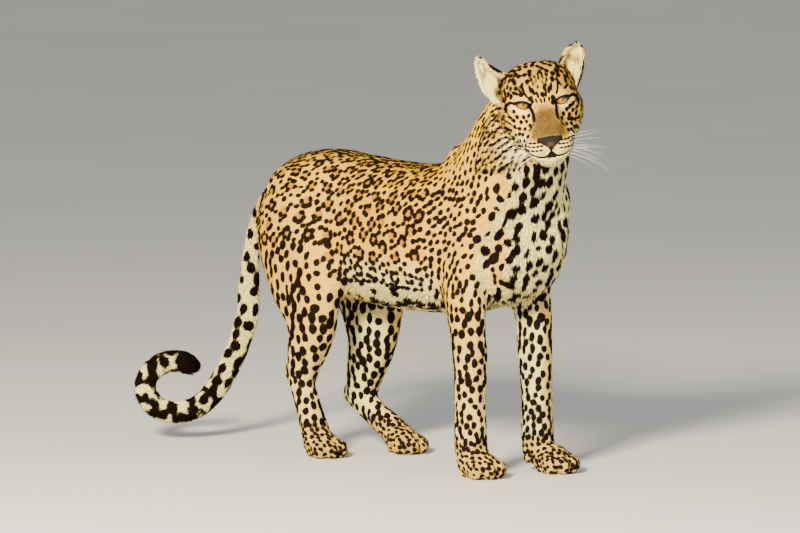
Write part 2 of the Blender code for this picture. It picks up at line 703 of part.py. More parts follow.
for side, sign in SIDES.items():
    paw_x = FORE_PAW_X[side]
    y = sign * PAW_Y
    SHELLS.append(((0.160, sign * 0.114, 0.425), (0.104, 0.090, 0.146)))
    CUTS.append(((0.190, y, 0.095), (0.25, 0, 1), 0.058))
    SEEDS["shoulder_" + side] = (0.175, sign * 0.14, 0.43)
    SEEDS["foreleg_" + side] = (0.185, sign * 0.12, 0.18)
    SEEDS["forepaw_" + side] = (paw_x + 0.02, y, 0.05)
    knee, hock, hind_x = HIND_JOINTS[side]
    shin = Vector((hock[0] - knee[0], 0, hock[1] - knee[1])).normalized()
    foot = Vector((hind_x - 0.018 - hock[0], 0, 0.030 - hock[1])).normalized()
    SHELLS.append(((-0.340, sign * 0.118, 0.438), (0.174, 0.109, 0.172)))
    CUTS.append(((hock[0] + 0.006, y, hock[1]), (shin + foot).normalized(), 0.078))
    SEEDS["thigh_" + side] = (-0.33, sign * 0.14, 0.43)
    SEEDS["shank_" + side] = (0.5 * (knee[0] + hock[0]) - 0.01, sign * 0.12, 0.55 * hock[1] + 0.45 * knee[1])
    SEEDS["hindpaw_" + side] = (hind_x + 0.02, y, 0.05)


def finish(parts):
    """Each part its own material, its facets shaded smooth, and the origin moved under the box."""
    for piece in parts.objects:
        iris = piece.name.startswith("eye")
        looks = material(piece.name, IRIS if iris else FUR, 0.2 if iris else 0.85)
        piece.data.materials.clear()
        piece.data.materials.append(looks)
        piece.data.transform(Matrix.Translation(-ORIGIN))
        piece.data.shade_smooth()
        piece.data.set_sharp_from_angle(angle=math.radians(50))


def build():
    for existing in list(bpy.data.objects):
        remove(existing)
    parts = collection("leopard")
    workshop = collection("workshop")
    whole = cut(thin_out(build_whole(workshop), workshop), [floor_block(workshop)], workshop)
    for side, sign in SIDES.items():
        cut(ear(side, workshop), [swollen(whole, workshop)], parts)
        eyeball("eye_" + side, sign, parts)
    head = slice_up(whole, parts)["head"]
    cutters = [piece for sign in SIDES.values() for piece in eye_socket(sign, workshop)]
    cut(head, cutters + face_lines(head, workshop), parts)
    finish(parts)


build()
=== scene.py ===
"""How the standing leopard looks: one skin over its flesh, a coat of tufts with its markings, eyes
and whiskers, and a plain pale studio.

Units are metres, in the frame of the solids: +X runs from the tail to the chest, +Y to the animal's
left, +Z up. Places on the head are also given in the head's own millimetres: ahead, left and up
from the point midway between the eyes.
"""

import math

import bmesh
import bpy
import numpy as np
from mathutils import Matrix, Vector
from mathutils.kdtree import KDTree


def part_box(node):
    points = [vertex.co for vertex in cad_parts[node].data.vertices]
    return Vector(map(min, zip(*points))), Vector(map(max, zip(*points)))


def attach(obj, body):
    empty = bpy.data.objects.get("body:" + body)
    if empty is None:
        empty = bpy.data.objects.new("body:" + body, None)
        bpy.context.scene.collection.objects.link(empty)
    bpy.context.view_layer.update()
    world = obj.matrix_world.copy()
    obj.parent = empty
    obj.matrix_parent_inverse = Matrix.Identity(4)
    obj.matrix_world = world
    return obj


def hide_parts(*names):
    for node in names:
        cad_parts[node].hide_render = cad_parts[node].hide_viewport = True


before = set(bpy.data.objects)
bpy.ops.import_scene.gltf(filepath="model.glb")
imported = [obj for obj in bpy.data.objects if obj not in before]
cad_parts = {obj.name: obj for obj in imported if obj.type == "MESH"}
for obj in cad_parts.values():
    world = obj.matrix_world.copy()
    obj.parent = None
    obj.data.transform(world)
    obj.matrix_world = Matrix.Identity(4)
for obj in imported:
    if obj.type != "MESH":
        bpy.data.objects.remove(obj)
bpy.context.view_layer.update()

SEED = 11  # of the scattered marks, tufts and whiskers

# Places read from the solids, and how the head is turned in them.
PAWS_MIDDLE = np.array((0.1395, 0.0345, 0.0))  # the floor point that body places are measured from
FLESH = sorted(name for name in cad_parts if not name.startswith(("eye", "ear")))
EYES = {side: sum(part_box("eye_" + side), Vector()) / 2 for side in ("left", "right")}
EYE_RADIUS = (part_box("eye_left")[1].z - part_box("eye_left")[0].z) / 2
HEAD_MIDDLE = np.array((EYES["left"] + EYES["right"]) / 2)
HEAD_TURN = math.radians(-37.5)
HEAD_PITCH = math.radians(4)
HEAD_ROLL = math.radians(7.8)
HEAD_AXES = np.array(Matrix.Rotation(HEAD_TURN, 3, "Z") @ Matrix.Rotation(HEAD_PITCH, 3, "Y")
                     @ Matrix.Rotation(HEAD_ROLL, 3, "X"))
TAIL_LINE = np.array([sum(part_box("tail_%d" % i), Vector()) / 2 for i in range(1, 8)])
EYE_APART = 39.5  # from the middle of the face to an eye, in the head's millimetres

# The skin.
SKIN_VOXEL = 0.0030
SKIN_SMOOTHING = 24  # rounds

# The opening between the lids, in millimetres from the middle of an eye.
LID_HALF = 13.0
LID_UP = 4.4
LID_DOWN = 6.2
LID_SLANT = 0.20

# The coat's colours, as linear light.
GOLD = (0.90, 0.470, 0.010)
CREAM = (0.97, 0.85, 0.36)
TAWNY = (0.44, 0.18, 0.010)
TAN = (0.145, 0.077, 0.018)
BLACK = (0.007, 0.003, 0.0015)
LEATHER = (0.014, 0.008, 0.006)
LEATHER_PINK = (0.060, 0.030, 0.024)

# The camera, from the animal's right front: degrees, metres and millimetres of lens.
CAMERA_TURN = 48
CAMERA_TILT = 5
CAMERA_FAR = 12
CAMERA_LENS = 267
AIM_RIGHT = -0.081
AIM_UP = 0.401


def to_head(points):
    """Points in metres as places on the head."""
    return (points - HEAD_MIDDLE) @ HEAD_AXES * 1000


def from_head(places):
    """Places on the head as points in metres."""
    return HEAD_MIDDLE + np.asarray(places, float) / 1000 @ HEAD_AXES.T


def ease(value, low, high):
    """0 at low and 1 at high with a smooth rise between, or a fall where low is the larger."""
    t = np.clip((value - low) / (high - low), 0, 1)
    return t * t * (3 - 2 * t)


def blend(first, second, share):
    """The first value where the share is 0, the second where it is 1, and a mix between."""
    return first * (1 - share) + second * share


def unit(vectors):
    """Vectors brought to a length of 1."""
    return vectors / np.maximum(np.linalg.norm(vectors, axis=-1, keepdims=True), 1e-12)


def along_skin(ways, normals):
    """Directions with what they have along the normals taken off."""
    return ways - normals * np.sum(ways * normals, axis=1)[:, None]


def ripple(points, size, seed, waves=8):
    """A smooth random value of about -1 to 1 over space, with features of about the given size."""
    draw = np.random.default_rng(seed)
    total = np.zeros(len(points))
    for way in unit(draw.normal(size=(waves, 3))):
        turns = points @ way * draw.uniform(0.6, 1.5) / size
        total += np.sin(2 * math.pi * (turns + draw.uniform()))
    return total / math.sqrt(waves)


# Meshes.


def read_rows(rows, key, width, kind=np.int32):
    """A value of each row of a mesh's data as a numpy array, with a column for each number in it."""
    values = np.empty(len(rows) * width, kind)
    rows.foreach_get(key, values)
    return values.reshape(-1, width) if width > 1 else values


def mesh_points(mesh):
    return read_rows(mesh.vertices, "co", 3, np.float32).astype(float)


def mesh_triangles(mesh):
    """Each triangle's three vertices and the three face corners that they are."""
    mesh.calc_loop_triangles()
    triangles = mesh.loop_triangles
    return read_rows(triangles, "vertices", 3), read_rows(triangles, "loops", 3)


def mesh_edges(mesh):
    return read_rows(mesh.edges, "vertices", 2)


def point_normals(points, triangles):
    """A smooth normal at each point, from the triangles that meet there."""
    a, b, c = (points[triangles[:, k]] for k in range(3))
    across = np.cross(b - a, c - a)
    total = np.zeros_like(points)
    for k in range(3):
        for axis in range(3):
            total[:, axis] += np.bincount(triangles[:, k], across[:, axis], len(points))
    return unit(total)


def neighbours_mean(values, edges, count):
    """The mean over each point's neighbours of a value or vector at the points."""
    total = np.empty_like(values)
    for axis in range(values.shape[1]):
        total[:, axis] = (np.bincount(edges[:, 0], values[edges[:, 1], axis], len(values))
                          + np.bincount(edges[:, 1], values[edges[:, 0], axis], len(values)))
    return total / count


def smoothed(points, edges, rounds, weight, keep_size=True):
    """Points drawn to their neighbours and, to keep the size, partly back again."""
    count = np.bincount(edges.ravel(), minlength=len(points))[:, None]
    weight = np.broadcast_to(weight, (len(points),))[:, None]
    for _ in range(rounds):
        points = points + 0.5 * weight * (neighbours_mean(points, edges, count) - points)
        if keep_size:
            points = points - 0.52 * weight * (neighbours_mean(points, edges, count) - points)
    return points


def placed(name, data):
    """A new object with the given data, in the scene."""
    made = bpy.data.objects.new(name, data)
    bpy.context.scene.collection.objects.link(made)
    return made


def shade_smooth(mesh):
    mesh.polygons.foreach_set("use_smooth", np.ones(len(mesh.polygons), bool))


def new_object(name, points, faces):
    """A mesh object from numpy points and faces of three or four corners."""
    mesh = bpy.data.meshes.new(name)
    faces = np.asarray(faces, np.int32)
    sides = faces.shape[1]
    mesh.vertices.add(len(points))
    mesh.vertices.foreach_set("co", np.asarray(points, np.float32).ravel())
    mesh.loops.add(faces.size)
    mesh.loops.foreach_set("vertex_index", faces.ravel())
    mesh.polygons.add(len(faces))
    mesh.polygons.foreach_set("loop_start", np.arange(0, faces.size, sides, dtype=np.int32))
    shade_smooth(mesh)
    mesh.update(calc_edges=True)
    return placed(name, mesh)


def set_field(mesh, name, values):
    """A number at each point of a mesh, for materials to read by name."""
    field = mesh.attributes.new(name, "FLOAT", "POINT")
    field.data.foreach_set("value", np.asarray(values, np.float32))


# The skin: the flesh nodes fused, refined on the head, smoothed, drawn in under the coat, sculpted.


def fused_flesh():
    """One closed surface round the flesh nodes, its eye sockets filled."""
    body = bmesh.new()
    for name in FLESH:
        body.from_mesh(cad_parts[name].data)
    for centre in EYES.values():
        bmesh.ops.create_uvsphere(body, u_segments=24, v_segments=16, radius=EYE_RADIUS * 1.05,
                                  matrix=Matrix.Translation(centre))
    mesh = bpy.data.meshes.new("flesh")
    body.to_mesh(mesh)
    body.free()
    flesh = placed("flesh", mesh)
    remesh = flesh.modifiers.new("fuse", "REMESH")
    remesh.mode = "VOXEL"
    remesh.voxel_size = SKIN_VOXEL
    graph = bpy.context.evaluated_depsgraph_get()
    fused = bpy.data.meshes.new_from_object(flesh.evaluated_get(graph))
    bpy.data.objects.remove(flesh)
    return fused


def largest_surface(body):
    """Deletes all of a bmesh but its largest connected surface."""
    found = []
    seen = set()
    for start in body.verts:
        if start in seen:
            continue
        seen.add(start)
        group = [start]
        for vertex in group:
            for edge in vertex.link_edges:
                other = edge.other_vert(vertex)
                if other not in seen:
                    seen.add(other)
                    group.append(other)
        found.append(group)
    found.sort(key=len)
    bmesh.ops.delete(body, geom=[vertex for group in found[:-1] for vertex in group], context="VERTS")


def refine(body, wanted):
    """Halves the faces whose middle is wanted, a test on places on the head."""
    body.faces.ensure_lookup_table()
    middles = to_head(np.array([face.calc_center_median() for face in body.faces]))
    chosen = set()
    for index in np.flatnonzero(wanted(middles)):
        chosen.update(body.faces[index].edges)
    bmesh.ops.subdivide_edges(body, edges=list(chosen), cuts=1, use_grid_fill=True)


def on_head(places):
    """Where the forms of the face are made."""
    return (places[:, 0] > -75) & (np.abs(places[:, 1]) < 100) & (places[:, 2] > -128)


def on_features(places):
    """Round the eyes, and the nose and mouth."""
    beside = np.abs(np.abs(places[:, 1]) - EYE_APART)
    eyes = (np.hypot(beside, places[:, 2]) < 21) & (places[:, 0] > -5)
    muzzle = (places[:, 0] > 8) & (places[:, 2] < -50) & (places[:, 2] > -112)
    return eyes | muzzle


def coat_depth(body_places, head_places):
    """How far the skin lies inside the coat's tips, in metres."""
    x, y, z = body_places.T
    depth = np.full(len(x), 0.0030)
    belly = ease(z, 0.36, 0.32) * ease(z, 0.24, 0.29) * ease(np.abs(y), 0.085, 0.04)
    depth += 0.0060 * belly * ease(x, -0.30, -0.2) * ease(x, 0.27, 0.2)
    chest = ease(x, 0.24, 0.30) * ease(z, 0.33, 0.40) * ease(z, 0.66, 0.60)
    depth += 0.0030 * chest
    tail = ease(x, -0.53, -0.57)
    depth = blend(depth, 0.0055, tail)
    legs = ease(z, 0.30, 0.22) * (1 - tail)
    depth = blend(depth, 0.0022, legs)
    paws = ease(z, 0.085, 0.05) * (1 - tail)
    depth = depth * (1 - paws) + 0.0012 * paws * ease(z, 0.004, 0.012)
    head = ease(head_places[:, 0], -90, -50) * ease(head_places[:, 2], -128, -112) * ease(z, 0.4, 0.5)
    cheeks = ease(np.abs(head_places[:, 1]), 40, 66) * ease(head_places[:, 0], 20, -20)
    return blend(depth, 0.0008 + 0.0022 * cheeks, head)


def almond(across, up):
    """How far a place lies outside the opening between the lids, in millimetres."""
    bow = np.clip(1 - (across / LID_HALF) ** 2, 0, 1) ** 0.7
    slant = LID_SLANT * np.clip(across, -LID_HALF, LID_HALF)
    over = up - (LID_UP * bow + slant)
    under = (slant - LID_DOWN * bow) - up
    return np.maximum(np.maximum(over, under), np.abs(across) - LID_HALF)


def open_lids(places):
    """Sinks the skin behind each eyeball in its opening and raises the lids round it."""
    radius = 1000 * EYE_RADIUS
    for sign in (-1, 1):
        across = sign * places[:, 1] - EYE_APART
        up = places[:, 2]
        reach = np.hypot(across, up)
        near = (reach < 24) & (places[:, 0] > -3)
        outside = almond(across, up)
        ball = np.sqrt(np.maximum(radius ** 2 - reach ** 2, 0))
        lid = ball + 0.9 + 0.9 * ease(outside, 0.2, 2.5)
        raised = lid - places[:, 0]
        share = ease(outside, 7.0, 2.5) * ease(reach, 19, 14)
        change = share * raised
        fold = np.exp(-((outside - 5.0) / 1.3) ** 2) * (up > 0) * ease(reach, 22, 15)
        bag = np.exp(-((outside - 4.5) / 1.5) ** 2) * (up < 0) * ease(reach, 22, 15)
        change -= 1.1 * fold + 0.6 * bag
        change = np.where(outside < 0.3, (ball - 3.0 - places[:, 0]) * ease(outside, 0.3, -0.2)
                          + change * ease(outside, -0.2, 0.3), change)
        places[:, 0] += np.where(near, change, 0)
    return places


MOUTH = ((0, 0, -94), (0, 6, -97), (0, 13, -99), (0, 23, -99), (0, 32, -96), (0, 41, -91), (0, 47, -86))


def distance_to_line(places, line):
    """The least distance from each place to a line through points."""
    least = np.full(len(places), 1e9)
    for start, end in zip(line[:-1], line[1:]):
        start, end = np.array(start, float), np.array(end, float)
        along = end - start
        share = np.clip((places - start) @ along / (along @ along), 0, 1)
        least = np.minimum(least, np.linalg.norm(places - start - share[:, None] * along, axis=1))
    return least


def seen_from_front(places):
    """Places on the head flattened and mirrored, for forms drawn on the face."""
    return np.stack([np.zeros(len(places)), np.abs(places[:, 1]), places[:, 2]], -1)


def on_one_side(places):
    """Places on the head, with those of its right side brought over to its left."""
    places = places.copy()
    places[:, 1] = np.abs(places[:, 1])
    return places


def mouth_distance(places):
    """How far a place seen from the front lies from the line of the mouth."""
    return distance_to_line(seen_from_front(places), MOUTH) + 100 * (places[:, 0] < 8)


def nose_leather(places):
    """How far inside the edge of the nose's leather a place lies, in millimetres."""
    beside, up = np.abs(places[:, 1]), places[:, 2]
    wing = np.minimum(24 - beside, 0.9 * (up + 71 + 0.10 * beside) + 10)
    top = -56.5 - 0.12 * beside - up
    taper = 3.2 - beside + np.maximum(up + 80, 0) * 1.55
    return np.minimum(np.minimum(wing, top), taper) * (places[:, 0] > 45) - 50 * (places[:, 0] <= 45)


NOSTRIL = ((84, 6, -74), (84, 9, -71), (80, 15, -69), (73, 21, -70))
PHILTRUM = ((84, 0, -72), (80, 0, -82), (73, 0, -93))


def press_face(places, normals):
    """The line of the mouth, nostrils and the groove of the lip, pressed along the normals."""
    mirrored = on_one_side(places)
    mouth = mouth_distance(places)
    press = 2.8 * np.exp(-(mouth / 1.4) ** 2) - 0.7 * np.exp(-((mouth - 4.2) / 2.0) ** 2)
    front = ease(places[:, 0], 20, 40)
    pad = np.hypot((mirrored[:, 1] - 21) / 15, (places[:, 2] + 85) / 10.5)
    press -= 3.6 * np.exp(-pad ** 2) * front
    jaw = np.hypot(mirrored[:, 1] / 20, (places[:, 2] + 112) / 9)
    press -= 1.5 * np.exp(-jaw ** 2) * front
    brow = np.hypot((mirrored[:, 1] - 38) / 15, (places[:, 2] - 12.5) / 5)
    press -= 3.0 * np.exp(-brow ** 2) * ease(places[:, 0], -25, -10)
    nostril = distance_to_line(mirrored, NOSTRIL)
    press += 3.2 * np.exp(-(nostril / 1.7) ** 2)
    press += 1.4 * np.exp(-(distance_to_line(places, PHILTRUM) / 1.2) ** 2)
    leather = nose_leather(places)
    press -= 0.6 * ease(leather, -0.6, 0.8)
    return places - normals * press[:, None]


def build_skin():
    """The skin's mesh: the flesh fused, smoothed, drawn in under the coat and sculpted on the face."""
    mesh = fused_flesh()
    body = bmesh.new()
    body.from_mesh(mesh)
    largest_surface(body)
    refine(body, on_head)
    refine(body, on_features)
    body.to_mesh(mesh)
    body.free()
    points = mesh_points(mesh)
    triangles, _ = mesh_triangles(mesh)
    edges = mesh_edges(mesh)
    head = to_head(points)
    face = ease(head[:, 0], -70, -30) * ease(points[:, 2], 0.5, 0.6)
    low = ease(points[:, 2], 0.14, 0.08)
    points = smoothed(points, edges, SKIN_SMOOTHING, 1 - 0.45 * np.maximum(face, low))
    normals = point_normals(points, triangles)
    depth = coat_depth(points - PAWS_MIDDLE, to_head(points))
    points = points - normals * depth[:, None]
    points = smoothed(points, edges, 3, 1.0)
    points[:, 2] = np.maximum(points[:, 2], 0)
    normals = point_normals(points, triangles)
    places = to_head(points)
    moved = press_face(open_lids(places.copy()), normals @ HEAD_AXES)
    on_it = on_head(places)[:, None]
    points = np.where(on_it, from_head(moved), points)
    mesh.vertices.foreach_set("co", points.astype(np.float32).ravel())
    mesh.update()
    return mesh


# Rows of each ear from its root to its tip, on the head: the middle of the row's opening, from there
# to the row's outer or lower end, and from there to the back of the cup.
EAR_ROWS = {
    "left": (
        ((-50, 42, 8), (2, 9, -27), (-20, 1, 4)),
        ((-52, 52, 20), (3, 11, -28), (-21, 2, 4)),
        ((-52, 60, 33), (4, 13, -26), (-22, 4, 4)),
        ((-52, 68, 49), (5, 18, -18), (-19, 4, 3)),
        ((-53, 75, 67), (5, 20, -9), (-14, 3, 2)),
        ((-55, 81, 83), (4, 17, -5), (-9, 2, 1)),
        ((-56, 84, 92), (2, 12, -2), (-5, 1, 0)),
        ((-57, 85, 96), (1, 5, 0), (-2, 0, 0)),
    ),
    "right": (
        ((-50, -48, 12), (-3, -7, -27), (-20, 2, 6)),
        ((-54, -62, 21), (-4, -8, -29), (-21, 4, 8)),
        ((-54, -76, 31), (-6, -9, -28), (-21, 4, 10)),
        ((-57, -91, 46), (-8, -13, -20), (-16, 4, 12)),
        ((-62, -101, 63), (-7, -10, -15), (-11, 3, 9)),
        ((-66, -106, 77), (-5, -8, -11), (-7, 2, 7)),
        ((-69, -109, 86), (-3, -5, -6), (-4, 2, 4)),
        ((-71, -110, 91), (-1, -2, -2), (-2, 1, 2)),
    ),
}
EAR_STEPS = 5
EAR_SEGMENTS = 28
EAR_WRAP = math.radians(98)
EAR_HALF = 1.1  # half the thickness of an ear's skin, in millimetres


def curve_through(rows, steps):
    """More rows along a smooth curve through the given ones."""
    rows = np.asarray(rows, float)
    padded = np.vstack([2 * rows[0] - rows[1], rows, 2 * rows[-1] - rows[-2]])
    result = []
    for before, here, after, beyond in zip(padded, padded[1:], padded[2:], padded[3:]):
        for t in np.arange(steps) / steps:
            result.append(0.5 * (2 * here + (after - before) * t
                                 + (2 * before - 5 * here + 4 * after - beyond) * t ** 2
                                 + (3 * here - before - 3 * after + beyond) * t ** 3))
    result.append(rows[-1])
    return np.array(result)


def ear_shell(side):
    """An ear's two faces and rim: points, four-cornered faces, how far up each point lies, and how
    deep in the cup: 0 on the ear's back, 0.6 at the cup's rim and 1 along its middle."""
    rows = curve_through([np.ravel(row) for row in EAR_ROWS[side]], EAR_STEPS)
    middle, across, back = rows[:, None, :3], rows[:, None, 3:6], rows[:, None, 6:]
    angle = EAR_WRAP * np.linspace(-1, 1, EAR_SEGMENTS + 1)[None, :, None]
    sheet = middle + across * np.sin(angle) + back * np.cos(angle)
    along_row = np.gradient(sheet, axis=1)
    up_row = np.gradient(sheet, axis=0)
    normal = unit(np.cross(along_row, up_row))
    outward = np.sum(normal * back, axis=(1, 2)).sum() > 0
    normal = normal if outward else -normal
    rim = np.minimum(1, np.arange(len(rows))[::-1, None, None] / 4 + 0.25)
    outer, inner = sheet + normal * EAR_HALF * rim, sheet - normal * EAR_HALF * rim
    high, wide = sheet.shape[:2]
    index = np.arange(high * wide).reshape(high, wide)
    quads = np.stack([index[:-1, :-1], index[:-1, 1:], index[1:, 1:], index[1:, :-1]], -1)
    quads = quads.reshape(-1, 4)
    if not outward:
        quads = quads[:, ::-1]
    second = high * wide
    faces = [quads, quads[:, ::-1] + second]
    border = np.concatenate([index[:, 0][::-1], index[0, 1:], index[1:, -1], index[-1, -2:0:-1]])
    turned = np.roll(border, -1)
    strip = np.stack([border, turned, turned + second, border + second], -1)
    faces.append(strip[:, ::-1] if outward else strip)
    points = from_head(np.concatenate([outer.reshape(-1, 3), inner.reshape(-1, 3)]))
    height = np.repeat(np.linspace(0, 1, high), wide)
    deep = np.tile(0.6 + 0.4 * np.cos(np.linspace(-1, 1, wide) * math.pi / 2), high)
    cup = np.concatenate([np.zeros(second), deep])
    return points, np.concatenate(faces), np.tile(height, 2), cup


def add_ears(mesh):
    """Joins both ears to the skin's mesh as surfaces of their own, their roots sunk in the head."""
    count = len(mesh.vertices)
    height = [np.zeros(count)]
    cup = [np.zeros(count)]
    body = bmesh.new()
    body.from_mesh(mesh)
    for side in ("left", "right"):
        points, faces, up, inside = ear_shell(side)
        made = [body.verts.new(point) for point in points]
        for face in faces:
            body.faces.new([made[k] for k in face])
        height.append(up)
        cup.append(inside)
    body.to_mesh(mesh)
    body.free()
    shade_smooth(mesh)
    mesh.update()
    is_ear = np.concatenate([np.zeros(count), np.ones(len(mesh.vertices) - count)])
    return is_ear, np.concatenate(height), np.concatenate(cup)


# The lie of the coat.

LIE_SMOOTHING = 25  # rounds


def coat_lie(points, normals, edges, is_ear):
    """The direction in which the hair lies at each point of the skin."""
    x, _, z = (points - PAWS_MIDDLE).T
    head = to_head(points)
    lie = np.tile((-1.0, 0.0, -0.30), (len(points), 1))
    down = np.array((-0.05, 0.0, -1.0))
    leg = ease(z, 0.52, 0.34) * np.maximum(ease(x, 0.05, 0.10), ease(x, -0.17, -0.23))
    lie = blend(lie, down, leg[:, None])
    neck = ease(x + 0.7 * z, 0.56, 0.66) * ease(z, 0.36, 0.46)
    toward = np.array((-0.45, 0.0, -0.9))
    lie = blend(lie, toward, neck[:, None])
    paw = ease(z, 0.075, 0.045)
    lie = blend(lie, np.array((1.0, 0.0, -0.25)), paw[:, None])
    nearest = np.full(len(points), 1e9)
    tail_way = np.zeros_like(points)
    for start, end in zip(TAIL_LINE[:-1], TAIL_LINE[1:]):
        along = end - start
        share = np.clip((points - start) @ along / (along @ along), 0, 1)
        far = np.linalg.norm(points - start - share[:, None] * along, axis=1)
        closer = far < nearest
        nearest[closer] = far[closer]
        tail_way[closer] = along / np.linalg.norm(along)
    tail = ease(x, -0.50, -0.56)
    lie = blend(lie, tail_way, tail[:, None])
    beside = np.sign(head[:, 1])
    face = np.stack([np.full(len(x), -1.0), 0.45 * beside * ease(np.abs(head[:, 1]), 8, 50),
                     0.55 * ease(head[:, 2], -70, -20) - 0.75 * ease(head[:, 2], -30, -80)], -1)
    crown = ease(head[:, 0], -20, -70)
    face = blend(face, np.array((-0.8, 0.0, -0.7)), crown[:, None])
    share = ease(head[:, 0], -100, -60) * ease(head[:, 2], -130, -112) * ease(z, 0.45, 0.5)
    lie = blend(lie, face @ HEAD_AXES.T, share[:, None])
    ear_way = np.stack([np.full(len(x), -0.15), 0.45 * beside, np.full(len(x), 0.9)], -1)
    lie = np.where(is_ear[:, None] > 0, ear_way @ HEAD_AXES.T, lie)
    count = np.bincount(edges.ravel(), minlength=len(points))[:, None]
    for _ in range(LIE_SMOOTHING):
        lie = unit(along_skin(lie, normals))
        lie = 0.5 * lie + 0.5 * neighbours_mean(lie, edges, count)
    return unit(along_skin(lie, normals))


# The markings: fields over the skin, above 0 inside a mark.

SPREAD_TRIES = 30000  # at most this many points are tried
MOST_OVALS = 20000
FUR_OVER_MARKS = 0.0009  # how much of an oval's edge the tips of the fur round it cover
FUR_OVER_FACE_MARKS = 0.0006
ROSETTE_APART = 0.0325  # between the middles of two rosettes, at their largest
ROSETTE_RING = 0.0112  # from a rosette's middle to its blotches


def spread_points(points, spacing, seed):
    """Indices of points scattered evenly, each at least its spacing from the ones before it."""
    draw = np.random.default_rng(seed)
    order = draw.permutation(np.flatnonzero(np.isfinite(spacing)))[:SPREAD_TRIES]
    size = float(spacing[order].max()) if len(order) else 1.0
    around = [(dx, dy, dz) for dx in (-1, 0, 1) for dy in (-1, 0, 1) for dz in (-1, 0, 1)]
    cells = {}
    kept = []
    for index in order:
        place = points[index]
        x, y, z = (int(value // size) for value in place)
        near = [other for dx, dy, dz in around for other in cells.get((x + dx, y + dy, z + dz), ())]
        if near and (((points[near] - place) ** 2).sum(axis=1) < spacing[index] ** 2).any():
            continue
        cells.setdefault((x, y, z), []).append(index)
        kept.append(index)
    return np.array(kept, int)


class Blots:
    """Ovals laid on the skin, gathered first and then stamped into a field."""

    def __init__(self):
        self.rows = []
        self.middles = np.zeros((MOST_OVALS, 3))
        self.hidden = FUR_OVER_MARKS

    def add(self, middle, normal, way, half_long, half_wide):
        self.middles[len(self.rows)] = middle
        self.rows.append((middle, normal, way, half_long + self.hidden, half_wide + self.hidden))

    def clear(self, middle, gap):
        """Whether no oval's middle lies nearer than a gap."""
        return (((self.middles[:len(self.rows)] - middle) ** 2).sum(axis=1) > gap ** 2).all()

    def stamp(self, points, tree):
        """1 at the middle of an oval, 0 on its edge and less outside, the highest of all."""
        field = np.full(len(points), -1.0)
        for middle, normal, way, half_long, half_wide in self.rows:
            reach = 2.0 * max(half_long, half_wide)
            near = [index for _, index, _ in tree.find_range(Vector(middle), reach)]
            if not near:
                continue
            near = np.array(near)
            offset = points[near] - middle
            along = offset @ way / half_long
            across = offset @ np.cross(normal, way) / half_wide
            off = offset @ normal / (1.6 * max(half_long, half_wide))
            value = 1 - np.sqrt(along ** 2 + across ** 2 + off ** 2)
            field[near] = np.maximum(field[near], value)
        return field


def body_regions(points, head, is_ear):
    """Shares from 0 to 1 of each region of the body at each point."""
    x, _, z = (points - PAWS_MIDDLE).T
    head_share = (ease(head[:, 0], -95, -80) * ease(head[:, 2], -135, -122) * ease(z, 0.45, 0.5)
                  * (is_ear == 0))
    tail = ease(x, -0.535, -0.545)
    legs = ease(z, 0.335, 0.315) * (1 - tail)
    paws = ease(z, 0.075, 0.060) * (1 - tail)
    belly = ease(z, 0.375, 0.355) * ease(x, -0.20, -0.18) * ease(x, 0.09, 0.07)
    chest = ease(x, 0.20, 0.23) * ease(z, 0.33, 0.35) * (1 - head_share)
    return {"head": head_share, "tail": tail, "legs": legs, "paws": paws, "belly": belly,
            "chest": chest}


def inside_only(mask, spacing):
    """A spacing where a mask holds, and infinity, for no marks, elsewhere."""
    return np.where(mask, spacing, np.inf)


